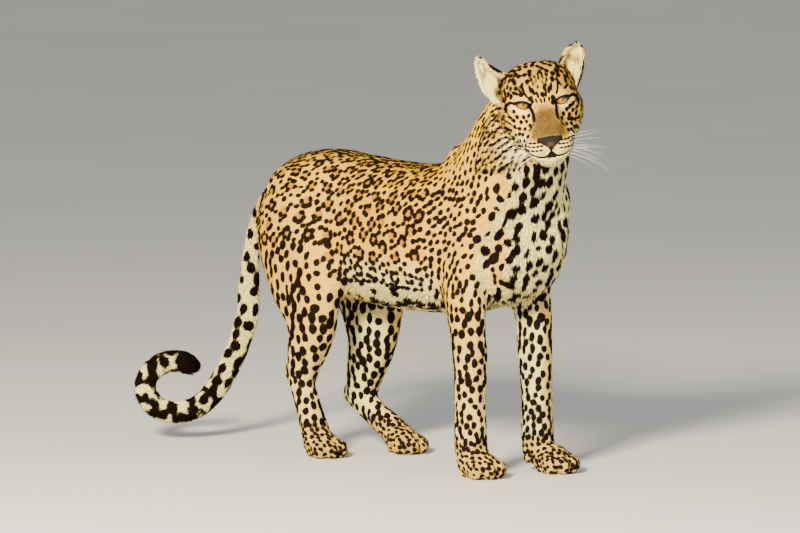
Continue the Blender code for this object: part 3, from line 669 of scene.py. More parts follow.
def lay_body_marks(points, normals, lie, regions, is_ear):
    """The black marks and the tawny hearts of the rosettes, as two sets of ovals."""
    marks, hearts = Blots(), Blots()
    draw = np.random.default_rng(SEED)
    x, y, z = (points - PAWS_MIDDLE).T
    free = (is_ear == 0) & (regions["head"] < 0.5)
    trunk = free & (regions["tail"] < 0.5) & (regions["legs"] < 0.5)
    spine = trunk & (np.abs(y) < 0.030) & (normals[:, 2] > 0.6) & (x < 0.2)
    rosy = (trunk & ~spine & (x < 0.060) & (x > -0.50) & (z > 0.375)
            & ~((x < -0.22) & (z < 0.44)) & ~((x > -0.02) & (z > 0.62)))
    belly = trunk & ~rosy & ~spine & (regions["belly"] > 0.5)
    chest = trunk & (regions["chest"] > 0.5) & (normals[:, 0] > 0.25)
    plain = trunk & ~rosy & ~spine & ~belly & ~chest
    thigh = plain & (x < -0.15)
    neck = plain & ~thigh

    def scatter(mask, gap, half_long, half_wide, number, spread=0.15):
        """Ovals along the lie of the coat, evenly scattered where a mask holds."""
        gap, half_long, half_wide = (np.broadcast_to(size, len(points))
                                     for size in (gap, half_long, half_wide))
        for index in spread_points(points, inside_only(mask, gap), SEED + number):
            if not marks.clear(points[index], 0.60 * gap[index]):
                continue
            scale = 1 + spread * np.clip(draw.normal(size=2), -2, 2)
            marks.add(points[index], normals[index], lie[index], half_long[index] * scale[0],
                      half_wide[index] * scale[1])

    size = 1 - 0.20 * ease(z, 0.50, 0.63)
    for index in spread_points(points, inside_only(rosy, ROSETTE_APART * size), SEED + 1):
        add_rosette(marks, hearts, points[index], normals[index], lie[index],
                    ROSETTE_RING * size[index] * draw.uniform(0.92, 1.06), draw)
    for index in spread_points(points, inside_only(rosy, 0.0090), SEED + 12):
        if marks.clear(points[index], 0.0122 * size[index]):
            marks.add(points[index], normals[index], lie[index],
                      draw.uniform(0.0056, 0.0070) * size[index],
                      draw.uniform(0.0044, 0.0052) * size[index])
    scatter(spine, 0.0118, 0.0080, 0.0050, 2)
    wide = 0.0050 - 0.0008 * ease(z, 0.56, 0.64)
    scatter(neck, 0.0142, 1.4 * wide, wide, 3)
    scatter(thigh, 0.0190, 0.0096, 0.0072, 4)
    scatter(chest, 0.0210, 0.0106, 0.0084, 5, spread=0.3)
    scatter(belly, 0.0270, 0.0135, 0.0115, 6, spread=0.2)
    legs = free & (regions["legs"] >= 0.5)
    fore = legs & (x > -0.05) & (regions["paws"] < 0.5)
    hind = legs & (x <= -0.05) & (regions["paws"] < 0.5)
    paws = free & (regions["paws"] >= 0.5)
    scatter(fore, 0.0114 + 0.016 * z, 0.0060 + 0.008 * z, 0.0049 + 0.006 * z, 7)
    scatter(hind, 0.0128 + 0.022 * z, 0.0070 + 0.012 * z, 0.0056 + 0.010 * z, 8)
    scatter(paws, 0.0098, 0.0048, 0.0040, 9)
    tail = free & (regions["tail"] >= 0.5)
    scatter(tail, 0.0235, 0.0118, 0.0096, 10, spread=0.2)
    return marks, hearts


def add_rosette(marks, hearts, middle, normal, way, ring, draw):
    """Four or five blotches in a ring round a deeper heart, at times with one left out."""
    side = np.cross(normal, way)
    hearts.add(middle, normal, way, 1.15 * ring, 1.10 * ring)
    count = draw.integers(4, 6)
    start = draw.uniform(0, 2 * math.pi)
    missing = draw.integers(0, count + 3)
    for k in range(count):
        angle = start + 2 * math.pi * (k + draw.uniform(-0.12, 0.12)) / count
        out = way * math.cos(angle) + side * math.sin(angle)
        around = side * math.cos(angle) - way * math.sin(angle)
        place = middle + out * ring * draw.uniform(0.92, 1.08)
        if k != missing and marks.clear(place, 0.95 * ring):
            marks.add(place, normal, around, draw.uniform(0.56, 0.68) * ring,
                      draw.uniform(0.43, 0.51) * ring)


def face_marks(points, normals, head, lie, regions, marks):
    """The dashes of the head, left off the bridge of the nose, eyes, muzzle and drawn streaks."""
    draw = np.random.default_rng(SEED + 20)
    marks.hidden = FUR_OVER_FACE_MARKS
    ahead, out, up = head[:, 0], np.abs(head[:, 1]), head[:, 2]
    bridge = (out < bridge_half(up) + 3) & (up < 4) & (ahead > -5)
    eye = np.hypot(out - EYE_APART, 1.25 * up) < 19
    pale = np.minimum(distance_to_line(seen_from_front(head), BROW),
                      distance_to_line(seen_from_front(head), BAG)) < 5.5
    muzzle = (ahead > 22) & (up < -58) & (out < 45)
    chin = (up < -96) & (ahead > -20) & (out < 40)
    beside_streak = (streaks(head) > -1.6) & (ahead > -25)
    open_skin = ((regions["head"] > 0.5) & ~bridge & ~eye & ~(pale & (ahead > -10)) & ~muzzle & ~chin
                 & ~beside_streak)
    crown = open_skin & (up > 8)
    cheek = open_skin & ~crown
    middle = ease(out, 22, 10) * ease(up, 62, 50) * ease(up, 24, 34)
    for index in spread_points(points, inside_only(crown, 0.0110 - 0.0036 * middle), SEED + 21):
        slant = 0.25 + 0.6 * ease(out[index], 8, 34)
        toward = np.array((-0.3, -slant * np.sign(head[index, 1]), 0.62)) @ HEAD_AXES.T
        toward = toward - normals[index] * (toward @ normals[index])
        scale = 1 - 0.45 * middle[index]
        marks.add(points[index], normals[index], toward / np.linalg.norm(toward),
                  draw.uniform(0.0052, 0.0062) * scale, draw.uniform(0.0042, 0.0048) * scale)
    far = np.where(head[:, 1] > 0, 1.08, 1.0)
    for index in spread_points(points, inside_only(cheek, 0.0098), SEED + 22):
        marks.add(points[index], normals[index], lie[index], draw.uniform(0.0040, 0.0052) * far[index],
                  draw.uniform(0.0036, 0.0043) * far[index])


def bridge_half(up):
    """Half the width of the plain brown bridge of the nose at a height on the head."""
    return 15 + 0.36 * np.clip(-up, 0, 60)


def tail_bands(points, regions):
    """Dark bands along the far half of the tail and its dark tip, above 0 inside."""
    nearest = np.full(len(points), 1e9)
    run = np.zeros(len(points))
    done = 0.0
    for start, end in zip(TAIL_LINE[:-1], TAIL_LINE[1:]):
        along = end - start
        length = np.linalg.norm(along)
        share = np.clip((points - start) @ along / length ** 2, 0, None)
        far = np.linalg.norm(points - start - np.minimum(share, 1)[:, None] * along, axis=1)
        closer = far < nearest
        nearest[closer] = far[closer]
        run[closer] = done + share[closer] * length
        done += length
    wave = np.cos(2 * math.pi * (run + 0.006 * ripple(points, 0.03, 5)) / 0.040)
    banded = ease(run, 0.30, 0.36) * (regions["tail"] > 0.5)
    bands = wave - 0.38 - 1.2 * (1 - banded)
    tip = (run - done + 0.012) / 0.02
    return np.where(regions["tail"] > 0.5, np.maximum(bands, tip), -1.0)


# Streaks of the face as lines on the head, seen from the front, with half of their width.
FACE_STREAKS = (
    (((0, 30, 3), (0, 25, -8), (0, 22.6, -18), (0, 23.5, -28)), 3.3),
    (((0, 24, -30), (0, 28, -38), (0, 36, -48)), 1.2),
    (((0, 52, 3), (0, 62, 6), (0, 69, 0), (0, 70, -12)), 2.9),
    (((0, 34, 32), (0, 33, 22), (0, 29, 15)), 2.3),
    (((0, 42, 27), (0, 33, 41)), 2.6),
    (((0, 47, 22), (0, 53, 24)), 3.2),
    (((0, 20, 24), (0, 21, 33)), 2.9),
    (((0, 14.5, 20), (0, 16.5, 27)), 3.4),
    (((0, 7.5, 13), (0, 9, 21)), 2.5),
    (((0, 3, 3), (0, 4, 8)), 2.3),
    (((0, 12, 4), (0, 13, 9)), 2.2),
    (((0, 60, -78), (0, 46, -82)), 2.2),
)
BROW = ((0, 58, 11), (0, 44, 15), (0, 30, 13))  # the pale patch over an eye
BAG = ((0, 60, -2), (0, 49, -10), (0, 34, -15))  # the pale band under it


def streaks(head):
    """The streaks of the face, 1 along their middles and 0 on their edges."""
    flat = seen_from_front(head)
    return np.maximum.reduce([1 - distance_to_line(flat, line) / half for line, half in FACE_STREAKS])


def eye_rims(head):
    """The black rims of the lids and the streaks round the eyes."""
    across = np.abs(head[:, 1]) - EYE_APART
    up = head[:, 2]
    outside = almond(across, up)
    thick = 2.2 + 3.0 * ease(up - LID_SLANT * across, -1.0, 1.5)
    rim = np.where(head[:, 0] > -12, 1 - np.maximum(outside, 0) / thick, -1)
    return np.where(head[:, 0] > -25, np.maximum(rim, streaks(head)), -1)


def muzzle_marks(head):
    """The dark rows on the whisker pads, the black lips and nostrils and the dots of the chin."""
    mouth = mouth_distance(head)
    front = ease(np.abs(head[:, 1]), 11, 3)
    lips = 1 - mouth / (2.4 + 3.6 * front)
    mirrored = on_one_side(head)
    nostrils = 1 - distance_to_line(mirrored, NOSTRIL) / 2.8
    out, up = mirrored[:, 1], head[:, 2]
    parting = np.where((up < -76) & (up > -97) & (head[:, 0] > 40), 1 - out / 2.4, -1)
    edge = np.where(up < -63, 1 - np.abs(nose_leather(head) - 0.6) / 2.2, -1)
    row = (up + 66 + 0.20 * out - 0.003 * out ** 2) / 7.4
    line = np.abs(row - np.round(row)) * 7.4
    dash = np.cos(2 * math.pi * (out / 7.6 + 0.35 * np.round(row)))
    rows = 1 - line / (1.8 + 0.9 * dash)
    pad = (out > 14) & (out < 47) & (row < 0.5) & (up > -91 + 0.1 * out) & (head[:, 0] > 18)
    rows = np.where(pad, rows, -1)
    dots = 0.30 - np.hypot((out - 4) % 8 - 4, (up + 0.6 * out) % 7 - 3.5) / 5
    dots = np.where((up < -105) & (up > -119) & (out < 22) & (head[:, 0] > 20), dots, -1)
    return np.maximum.reduce([lips, rows, nostrils, parting, edge, dots])


def colour_fields(points, normals, head, regions, is_ear, height, cup):
    """How pale and how brown the coat's ground is at each point, from 0 to 1."""
    x, y, z = (points - PAWS_MIDDLE).T
    soft = ripple(points, 0.05, 3)
    middle = ease(x, -0.24, -0.15) * ease(x, 0.14, 0.06)
    under = ease(z + 0.012 * soft, 0.450, 0.355)
    inner = ease(-normals[:, 1] * np.sign(y) + 0.12 * soft, -0.10, 0.45)
    limb = 0.12 + 0.45 * ease(z, 0.40, 0.10)
    limb = np.maximum(limb, (0.45 + 0.5 * inner) * ease(z, 0.46, 0.38) * inner)
    pale = 0.03 + 0.94 * under
    pale = blend(limb, pale, middle)
    breast = (ease(normals[:, 0] + 0.1 * soft, 0.25, 0.70) * ease(x, 0.17, 0.24)
              * ease(z, 0.80, 0.72) * ease(z, 0.28, 0.36))
    keel = ease(np.abs(y), 0.085, 0.055) * ease(z, 0.43, 0.36) * ease(x, -0.20, -0.12)
    pale = np.maximum(np.maximum(pale, breast), 0.92 * keel)
    pale = blend(pale, 0.35 + 0.60 * ease(z, 0.50, 0.40), regions["tail"])
    pale = blend(pale, 0.35, regions["paws"])
    ahead, out, up = head[:, 0], np.abs(head[:, 1]), head[:, 2]
    flat = seen_from_front(head)
    brow = 0.45 * ease(distance_to_line(flat, BROW), 6.0, 2.0)
    bag = 0.85 * ease(distance_to_line(flat, BAG), 5.5, 2.0)
    lids = np.maximum(brow, bag) * (ahead > -30)
    pads = ease(up, -70, -80) * ease(ahead, 10, 30)
    fringe = (0.9 * ease(np.abs(up + 55.5 + 0.12 * out), 3.5, 1.5) * ease(out, 27, 22)
              * ease(ahead, 40, 50))
    chin = ease(up, -92, -100) * ease(ahead, -25, 15) * ease(out, 48, 34)
    ruff = ease(up, -35, -62) * ease(out, 34, 48) * ease(ahead, -60, -30) * ease(up, -125, -100)
    least = np.full(len(out), 0.22)
    face_pale = np.maximum.reduce([lids, 0.75 * pads, chin, 0.85 * ruff, fringe, least])
    pale = blend(pale, face_pale, regions["head"])
    speckle = ripple(head, 4, 9, waves=30)
    edge = bridge_half(up) + 3 * ripple(head, 14, 8)
    bridge = ease(out, edge + 9, edge - 9) * ease(up + 5 * speckle, 12, -18) * ease(up, -72, -58)
    bridge = np.clip(bridge * (ahead > 0) * (1.02 + 0.18 * speckle), 0, 1)
    crown = 0.28 * ease(up, -5, 25)
    upper = 0.40 * ease(normals[:, 2], 0.5, 1.0) * ease(z, 0.5, 0.6)
    warm = blend(np.maximum(upper, 0.35 * regions["paws"]), np.maximum(bridge, crown), regions["head"])
    in_cup = cup > 0.5
    streak = ripple(head * np.array((1, 1, 0.25)), 7, 12)
    band = ease(np.cos(height * 24 + 0.8 * streak), 0.1, 0.8)
    # Painted shade in each ear's cup: a dark patch low down near its root.
    cup_shade = ease(height, 0.34, 0.26) * ease(height, 0.10, 0.18)
    pale = np.where(is_ear > 0, np.where(in_cup, 0.86 + 0.14 * streak, 0.2), pale)
    # The cup's brown: its bands, which are the ear's own markings, plus painted shade deeper in the cup
    # and low down.
    brown = (0.60 * band + 0.12) * ease(cup, 0.62, 0.80) + 0.90 * cup_shade * ease(cup, 0.70, 0.90)
    warm = np.where(is_ear > 0, np.where(in_cup, brown, 0.1), warm)
    warm = np.where(nose_leather(head) > 0, ease(out, 9, 4) * ease(up, -66, -72), warm)
    return np.clip(pale, 0, 1), np.clip(warm, 0, 1)


def ear_marks(is_ear, height, cup):
    """The black back of each ear with its pale patch, above 0 where black."""
    outer = (is_ear > 0) & (cup < 0.5)
    patch = 1 - np.abs(height - 0.66) / 0.13
    return np.where(outer & (height > 0.25), 0.6 - np.maximum(patch, 0) * 3, -1.0)


def coat_values(places, normals, is_ear, height, cup, marks):
    """The colour values at any places on the skin or the coat."""
    head = to_head(places)
    regions = body_regions(places, head, is_ear)
    wobble = np.stack([ripple(places, 0.016, seed) for seed in (31, 32, 33)], -1)
    warped = places + wobble * (0.0010 - 0.0008 * regions["head"])[:, None]
    tree = tree_of(warped)
    spot, heart = (blots.stamp(warped, tree) for blots in marks)
    spot = np.maximum(spot, tail_bands(places, regions))
    spot = np.maximum(spot, ear_marks(is_ear, height, cup))
    drawn = np.maximum(eye_rims(head), muzzle_marks(head))
    on_face = (regions["head"] > 0) & (is_ear == 0)
    spot = np.where(on_face, np.maximum(spot, drawn), spot)
    pale, warm = colour_fields(places, normals, head, regions, is_ear, height, cup)
    leather = np.where(on_face, nose_leather(head), -50)
    return {"spot": np.clip(spot, -1, 1), "heart": np.clip(heart, -1, 1), "pale": pale,
            "warm": warm, "leather": np.clip(leather / 3, -1, 1)}


def read_skin(mesh, is_ear, height, cup):
    """Everything that the materials and the coat read at the points of the skin."""
    points = mesh_points(mesh)
    triangles, _ = mesh_triangles(mesh)
    edges = mesh_edges(mesh)
    normals = point_normals(points, triangles)
    head = to_head(points)
    regions = body_regions(points, head, is_ear)
    lie = coat_lie(points, normals, edges, is_ear)
    marks, hearts = lay_body_marks(points, normals, lie, regions, is_ear)
    face_marks(points, normals, head, lie, regions, marks)
    fields = coat_values(points, normals, is_ear, height, cup, (marks, hearts))
    sizes = coat_sizes(points, normals, head, regions, is_ear, cup)
    return {"points": points, "normals": normals, "head": head, "lie": lie, "fields": fields,
            "sizes": sizes, "is_ear": is_ear, "height": height, "cup": cup, "marks": (marks, hearts)}


def tree_of(points):
    """A tree to find the points near a place with."""
    tree = KDTree(len(points))
    for index, point in enumerate(points):
        tree.insert(point, index)
    tree.balance()
    return tree


# The unwrap: a flat chart for each of the six sides of each node.

CHART_GAP = 0.006  # between charts, as a share of the map


def node_labels(points, is_ear, cup):
    """The number of the solid node that each point of the skin belongs to, the ears' cups apart."""
    names = sorted(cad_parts)
    tree = KDTree(sum(len(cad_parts[name].data.vertices) for name in names))
    owner = []
    for number, name in enumerate(names):
        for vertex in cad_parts[name].data.vertices:
            tree.insert(vertex.co, len(owner))
            owner.append(number)
    tree.balance()
    labels = np.array([owner[tree.find(point)[1]] for point in points])
    for side in ("left", "right"):
        mine = (is_ear > 0) & (np.sign(to_head(points)[:, 1]) == (1 if side == "left" else -1))
        labels[mine] = names.index("ear_" + side)
    cups = (is_ear > 0) & (cup > 0.5)
    labels[cups] += len(names)
    return labels, names


def rows_of(sizes, gap):
    """Where rectangles, tallest first, lie in rows across a unit square, and how high they reach."""
    places = np.zeros((len(sizes), 2))
    across, up, tallest = gap, gap, 0.0
    for index in np.argsort(-sizes[:, 1], kind="stable"):
        wide, high = sizes[index]
        if across + wide + gap > 1:
            across, up, tallest = gap, up + tallest + gap, 0.0
        places[index] = (across, up)
        across += wide + gap
        tallest = max(tallest, high)
    return places, up + tallest + gap


def unwrap(mesh, points, labels):
    """Each face corner's place on the map: its face seen square from the axis that it faces most."""
    total = read_rows(mesh.polygons, "loop_total", 1)
    normal = read_rows(mesh.polygons, "normal", 3, np.float32)
    vertex = read_rows(mesh.loops, "vertex_index", 1)
    start = np.concatenate([[0], np.cumsum(total)[:-1]])
    axis = np.abs(normal).argmax(axis=1)
    facing = axis * 2 + (normal[np.arange(len(normal)), axis] < 0)
    chart = np.repeat(labels[vertex[start]] * 6 + facing, total)
    axis = np.repeat(axis, total)
    corner = points[vertex]
    index = np.arange(len(vertex))
    flat = np.stack([corner[index, (axis + 1) % 3], corner[index, (axis + 2) % 3]], -1)
    used, chart = np.unique(chart, return_inverse=True)
    low = np.full((len(used), 2), np.inf)
    high = np.full((len(used), 2), -np.inf)
    for side in (0, 1):
        np.minimum.at(low[:, side], chart, flat[:, side])
        np.maximum.at(high[:, side], chart, flat[:, side])
    least, most = 0.0, 4.0
    for _ in range(30):
        scale = (least + most) / 2
        reach = rows_of((high - low) * scale, CHART_GAP)[1]
        least, most = (scale, most) if reach <= 1 else (least, scale)
    places = rows_of((high - low) * least, CHART_GAP)[0]
    return places[chart] + (flat - low[chart]) * least


def add_map(mesh, corners):
    """The map that the coat's colours are baked through."""
    layer = mesh.uv_layers.new(name="OFBake")
    layer.data.foreach_set("uv", np.asarray(corners, np.float32).ravel())


# The coat: closed tufts that lie along the skin, in pieces by region.

COAT_TUFTS = 305000
PIECE_TUFTS = 24000
PATCH = 0.0015  # half of a tuft's patch on the map
LONG_TUFT = 0.0125  # tufts longer than this are bent
SUNK = 0.0006  # how deep the root of a tuft lies in the skin
OFF_FLOOR = 0.0004  # the least height of a tuft's corners
COLOUR_REACH = 0.008  # at most how far from its root a tuft's tip takes its colour

COAT_PIECES = {
    "head": ("head", "ear_left", "ear_right", "eye_left", "eye_right"),
    "neck": ("neck",),
    "shoulders": ("shoulder_left", "shoulder_right"),
    "torso": ("torso",),
    "thighs": ("thigh_left", "thigh_right"),
    "forelegs": ("foreleg_left", "foreleg_right", "forepaw_left", "forepaw_right"),
    "shanks": ("shank_left", "shank_right", "hindpaw_left", "hindpaw_right"),
    "tail": tuple("tail_%d" % i for i in range(1, 8)),
}


def coat_sizes(points, normals, head, regions, is_ear, cup):
    """The length of the tufts at each point, how steeply they stand and how close they grow."""
    x, y, z = (points - PAWS_MIDDLE).T
    ahead, out, up = head[:, 0], np.abs(head[:, 1]), head[:, 2]
    trunk = 1 - ease(z, 0.34, 0.30) * (1 - ease(np.abs(y), 0.07, 0.03) * ease(x, -0.25, -0.2)
                                       * ease(x, 0.2, 0.15))
    belly = trunk * ease(normals[:, 2], -0.15, -0.65) * ease(z, 0.40, 0.36)
    breast = ease(normals[:, 0], 0.3, 0.7) * ease(x, 0.2, 0.24) * ease(z, 0.33, 0.38)
    behind = ease(-normals[:, 0], 0.2, 0.8) * ease(x, 0.0, 0.1) * (1 - regions["paws"])
    ruff = ease(out, 40, 58) * ease(ahead, 12, -8) * ease(up, 6, -14)
    crown = ease(up, 10, 24)
    muzzle = ease(ahead, 26, 40) * ease(up, -46, -58)
    chin = ease(up, -95, -102) * ease(ahead, 0, 20)
    eye = ease(np.hypot(out - EYE_APART, up), 24, 14) * (ahead > -14)
    face_length = blend(0.0046 + 0.0015 * crown, 0.0125, ruff)
    for share, value in ((muzzle, 0.0024), (chin, 0.0060), (eye, 0.0022)):
        face_length = blend(face_length, value, share)
    face_lift = blend(0.20, 0.34, np.maximum(ruff, chin))
    face_gap = blend(blend(0.0016, 0.0021, ruff), 0.0012, np.maximum(muzzle, eye))
    length, lift, gap = (np.full(len(x), value) for value in (0.0064, 0.17, 0.0027))
    for share, own_length, own_lift, own_gap in (
            (belly, 0.0140, 0.30, 0.0034),
            (breast, 0.0150, 0.28, 0.0031),
            (regions["legs"], 0.0062 + 0.0040 * behind, 0.15, 0.0022),
            (regions["paws"], 0.0040, None, 0.0019),
            (regions["tail"], 0.0120, 0.28, 0.0024),
            (regions["head"], face_length, face_lift, face_gap)):
        length = blend(length, own_length, share)
        lift = lift if own_lift is None else blend(lift, own_lift, share)
        gap = blend(gap, own_gap, share)
    ear = is_ear > 0
    rim = ease(cup, 1.0, 0.7) * (cup > 0.5)
    length = np.where(ear, 0.0036 + 0.0036 * cup + 0.0075 * rim, length)
    lift = np.where(ear, 0.22 + 0.15 * (cup > 0.5) + 0.15 * rim, lift)
    gap = np.where(ear, 0.0017, gap)
    return length, lift, gap


def bare(head, leather, z, normals):
    """Where no tuft grows: inside the lids, on the nose's leather, the lips and the soles."""
    across = np.abs(head[:, 1]) - EYE_APART
    eye = (almond(across, head[:, 2]) < 1.6) & (head[:, 0] > -8)
    lips = mouth_distance(head) < 1.6
    sole = (z < 0.004) & (normals[:, 2] < -0.3)
    return eye | lips | sole | (leather > -0.15)


def scatter_roots(points, triangles, density, count, seed):
    """Random places on the triangles: the triangle of each and its shares of the three corners."""
    a, b, c = (points[triangles[:, k]] for k in range(3))
    area = np.linalg.norm(np.cross(b - a, c - a), axis=1) / 2
    total = np.cumsum(area * density[triangles].mean(axis=1))
    draw = np.random.default_rng(seed)
    marks = (np.arange(count) + draw.random(count)) / count * total[-1]
    chosen = np.minimum(np.searchsorted(total, marks), len(triangles) - 1)
    first, second = np.sqrt(draw.random(count)), draw.random(count)
    shares = np.stack([1 - first, first * (1 - second), first * second], -1)
    return chosen, shares


def mixed(values, corners, shares):
    """A value or vector at each root, from the three corners of its triangle."""
    weights = shares if values.ndim == 1 else shares[:, :, None]
    return (values[corners] * weights).sum(axis=1)


SHORT_FACES = np.array(((0, 1, 2), (1, 3, 2), (3, 0, 2), (0, 3, 1)))
SHORT_TIPS = np.array((0.0, 0.0, 0.45, 1.0))
LONG_FACES = np.array(((0, 1, 4), (1, 3, 4), (2, 0, 4), (3, 5, 4), (5, 2, 4), (0, 2, 3), (0, 3, 1),
                       (2, 5, 3)))
LONG_TIPS = np.array((0.0, 0.0, 0.5, 0.5, 0.5, 1.0))


def short_tufts(root, normal, way, side, length, width, lift):
    """Straight closed tufts: two sunk corners, a ridge and a tip."""
    run, rise = way * length, normal * length * lift
    base = root - normal * SUNK
    ridge = root + 0.38 * run + 0.38 * rise + normal * 0.30 * width
    tip = root + run + rise
    return np.stack([base + side * width / 2, base - side * width / 2, ridge, tip], axis=1)


def long_tufts(root, normal, way, side, length, width, lift, droop):
    """Closed tufts that bend, and hang, at their middle."""
    first = unit(way + normal * lift)
    second = unit(first + np.array((0, 0, -1.0)) * droop - normal * 0.25 * lift)
    base = root - normal * SUNK
    middle = root + 0.45 * length * first
    tip = middle + 0.55 * length * second
    half = side * width / 2
    return np.stack([base + half, base - half, middle + 0.9 * half, middle - 0.9 * half,
                     middle + normal * 0.35 * width, tip], axis=1)


def tuft_piece(name, points, faces, tips, ends, patch, material):
    """One piece of the coat, with colour values from roots to tips and its patches on the map."""
    count, corners = points.shape[:2]
    offset = (np.arange(count) * corners)[:, None, None]
    every = (faces[None] + offset).reshape(-1, 3)
    piece = new_object(name, points.reshape(-1, 3), every)
    for key, (first, last) in ends.items():
        set_field(piece.data, key, (first[:, None] + (last - first)[:, None] * tips).ravel())
    set_field(piece.data, "tip", np.tile(tips, count))
    square = np.array(((-1, 1), (1, 1), (-0.3, 0), (0.3, 0), (0, 0.3), (0, -1)))
    square = square if corners == 6 else square[[0, 1, 4, 5]]
    spread = patch[:, None, :] + PATCH * square[None]
    add_map(piece.data, spread.reshape(-1, 2)[every.ravel()])
    piece.data.materials.append(material)
    return piece


def grow_coat(mesh, skin, corners_map, labels, names, material):
    """Every tuft of the coat, as pieces by region."""
    points, normals, head, is_ear = (skin[key] for key in ("points", "normals", "head", "is_ear"))
    triangles, corners = mesh_triangles(mesh)
    length, lift, gap = skin["sizes"]
    naked = bare(head, skin["fields"]["leather"], points[:, 2], normals) & (is_ear == 0)
    sunk_root = (is_ear > 0) & (skin["height"] <= 0.04)
    density = np.where(naked | sunk_root, 0, 1 / gap ** 2)
    chosen, shares = scatter_roots(points, triangles, density, COAT_TUFTS, SEED + 50)
    furred = (density[triangles[chosen]] > 0).all(axis=1)
    chosen, shares = chosen[furred], shares[furred]
    vertices = triangles[chosen]
    draw = np.random.default_rng(SEED + 51)
    root = mixed(points, vertices, shares)
    normal = unit(mixed(normals, vertices, shares))
    way = mixed(skin["lie"], vertices, shares)
    size = mixed(length, vertices, shares) * draw.uniform(0.78, 1.20, len(root))
    stand = mixed(lift, vertices, shares) * draw.uniform(0.6, 1.4, len(root))
    side = unit(np.cross(normal, way))
    yaw = draw.normal(size=len(root)) * (0.16 + 6 * size)
    way = unit(np.cross(side, normal) + side * yaw[:, None])
    side = np.cross(normal, way)
    width = 0.00055 + 0.155 * np.minimum(size, 0.012) + 0.03 * np.maximum(size - 0.012, 0)
    tip = root + way * np.minimum(size, COLOUR_REACH)[:, None]
    ear = [skin[key][vertices[:, 0]] for key in ("is_ear", "height", "cup")]
    at_root, at_tip = (coat_values(place, normal, *ear, skin["marks"]) for place in (root, tip))
    ends = {key: (at_root[key], at_tip[key]) for key in at_root}
    vary = draw.random(len(root))
    ends["vary"] = (vary, vary)
    patch = mixed(corners_map, corners[chosen], shares)
    owner = labels[vertices[:, 0]] % len(names)
    under = ease(-normal[:, 2], -0.2, 0.5)
    made = []
    columns = (root, normal, way, side, size[:, None], width[:, None], stand[:, None])
    droop = 0.15 + 0.5 * under[:, None]
    for region, nodes in COAT_PIECES.items():
        mine = np.isin(owner, [names.index(node) for node in nodes])
        for kind in ("short", "long"):
            wanted = np.flatnonzero(mine & ((size > LONG_TUFT) == (kind == "long")))
            for number, part in enumerate(np.array_split(wanted, len(wanted) // PIECE_TUFTS + 1)):
                if not len(part):
                    continue
                shape = [column[part] for column in columns]
                if kind == "short":
                    places, faces, tips = short_tufts(*shape), SHORT_FACES, SHORT_TIPS
                else:
                    places, faces, tips = long_tufts(*shape, droop[part]), LONG_FACES, LONG_TIPS
                places[..., 2] = np.maximum(places[..., 2], OFF_FLOOR)
                name = "coat_%s_%s_%d" % (region, kind, number + 1)
                own = {key: (first[part], last[part]) for key, (first, last) in ends.items()}
                made.append(tuft_piece(name, places, faces, tips, own, patch[part], material))
    return made


# Eyes.

EYE_AIM = (3000, 0, 0)  # the place on the head that both eyes look at
EYE_SEGMENTS = 48


def eye_profile():
    """The eyeball's outline from its front to its back: how far out and how far ahead, in metres."""
    radius = EYE_RADIUS
    cornea = 0.80 * radius
    rim = 0.62 * radius
    bulge = math.sqrt(radius ** 2 - rim ** 2) - math.sqrt(cornea ** 2 - rim ** 2)
    steps = []
    for k in range(13):
        angle = math.asin(rim / cornea) * k / 12
        steps.append((cornea * math.sin(angle), bulge + cornea * math.cos(angle)))
    first = math.asin(rim / radius)
    for k in range(1, 25):
        angle = first + (math.pi - first) * k / 24
        steps.append((radius * math.sin(angle), radius * math.cos(angle)))
    return steps


def build_eye(side):
    """An eyeball whose +Z looks along the gaze."""
    profile = eye_profile()
    segments = EYE_SEGMENTS
    angle = 2 * math.pi * np.arange(segments) / segments
    points = [(0, 0, profile[0][1])]
    for out, ahead in profile[1:-1]:
        points.extend(np.stack([out * np.cos(angle), out * np.sin(angle), np.full(segments, ahead)], -1))
    points.append((0, 0, profile[-1][1]))
    rings = len(profile) - 2
    faces = []
    for ring in range(rings - 1):
        for k in range(segments):
            a, b = 1 + ring * segments + k, 1 + ring * segments + (k + 1) % segments
            faces.append((a, a + segments, b + segments))
            faces.append((a, b + segments, b))
    last = len(points) - 1
    for k in range(segments):
        after = (k + 1) % segments
        faces.append((0, 1 + k, 1 + after))
        faces.append((last, last - segments + after, last - segments + k))
    eye = new_object("eyeball_" + side, points, faces)
    eye.location = EYES[side]
    gaze = Vector(from_head(EYE_AIM)) - EYES[side]
    eye.rotation_euler = gaze.to_track_quat("Z", "Y").to_euler()
    return eye


# Whiskers.

WHISKER_ROWS = ((-70, 3), (-76, 4), (-82, 4), (-88, 3))  # each row's height on the head and its whiskers
WHISKER_SIDES = 5
WHISKER_STEPS = 10
WHISKER_THICK = 0.0005


def whisker_tube(root, first, last, length):
    """A tapered tube that leaves along one way and ends along another."""
    t = np.linspace(0, 1, WHISKER_STEPS + 1)[:, None]
    line = root + length * (first * t * (1 - 0.5 * t) + last * 0.5 * t ** 2)
    along = unit(np.gradient(line, axis=0))
    side = unit(np.cross(along, (0.0, 0.0, 1.0)))
    up = np.cross(side, along)
    angle = 2 * math.pi * np.arange(WHISKER_SIDES) / WHISKER_SIDES
    radius = WHISKER_THICK / 2 * (1 - 0.82 * t)
    ring = side[:, None] * np.cos(angle)[None, :, None] + up[:, None] * np.sin(angle)[None, :, None]
    return (line[:, None] + radius[:, None] * ring).reshape(-1, 3)


def tube_faces():
    """The triangles of one whisker's tube and its two ends."""
    faces = []
    for step in range(WHISKER_STEPS):
        for k in range(WHISKER_SIDES):
            a = step * WHISKER_SIDES + k
            b = step * WHISKER_SIDES + (k + 1) % WHISKER_SIDES
            faces.append((a, b, b + WHISKER_SIDES))
            faces.append((a, b + WHISKER_SIDES, a + WHISKER_SIDES))
    last = WHISKER_STEPS * WHISKER_SIDES
    for k in range(1, WHISKER_SIDES - 1):
        faces.append((0, k + 1, k))
        faces.append((last, last + k, last + k + 1))
    return np.array(faces)


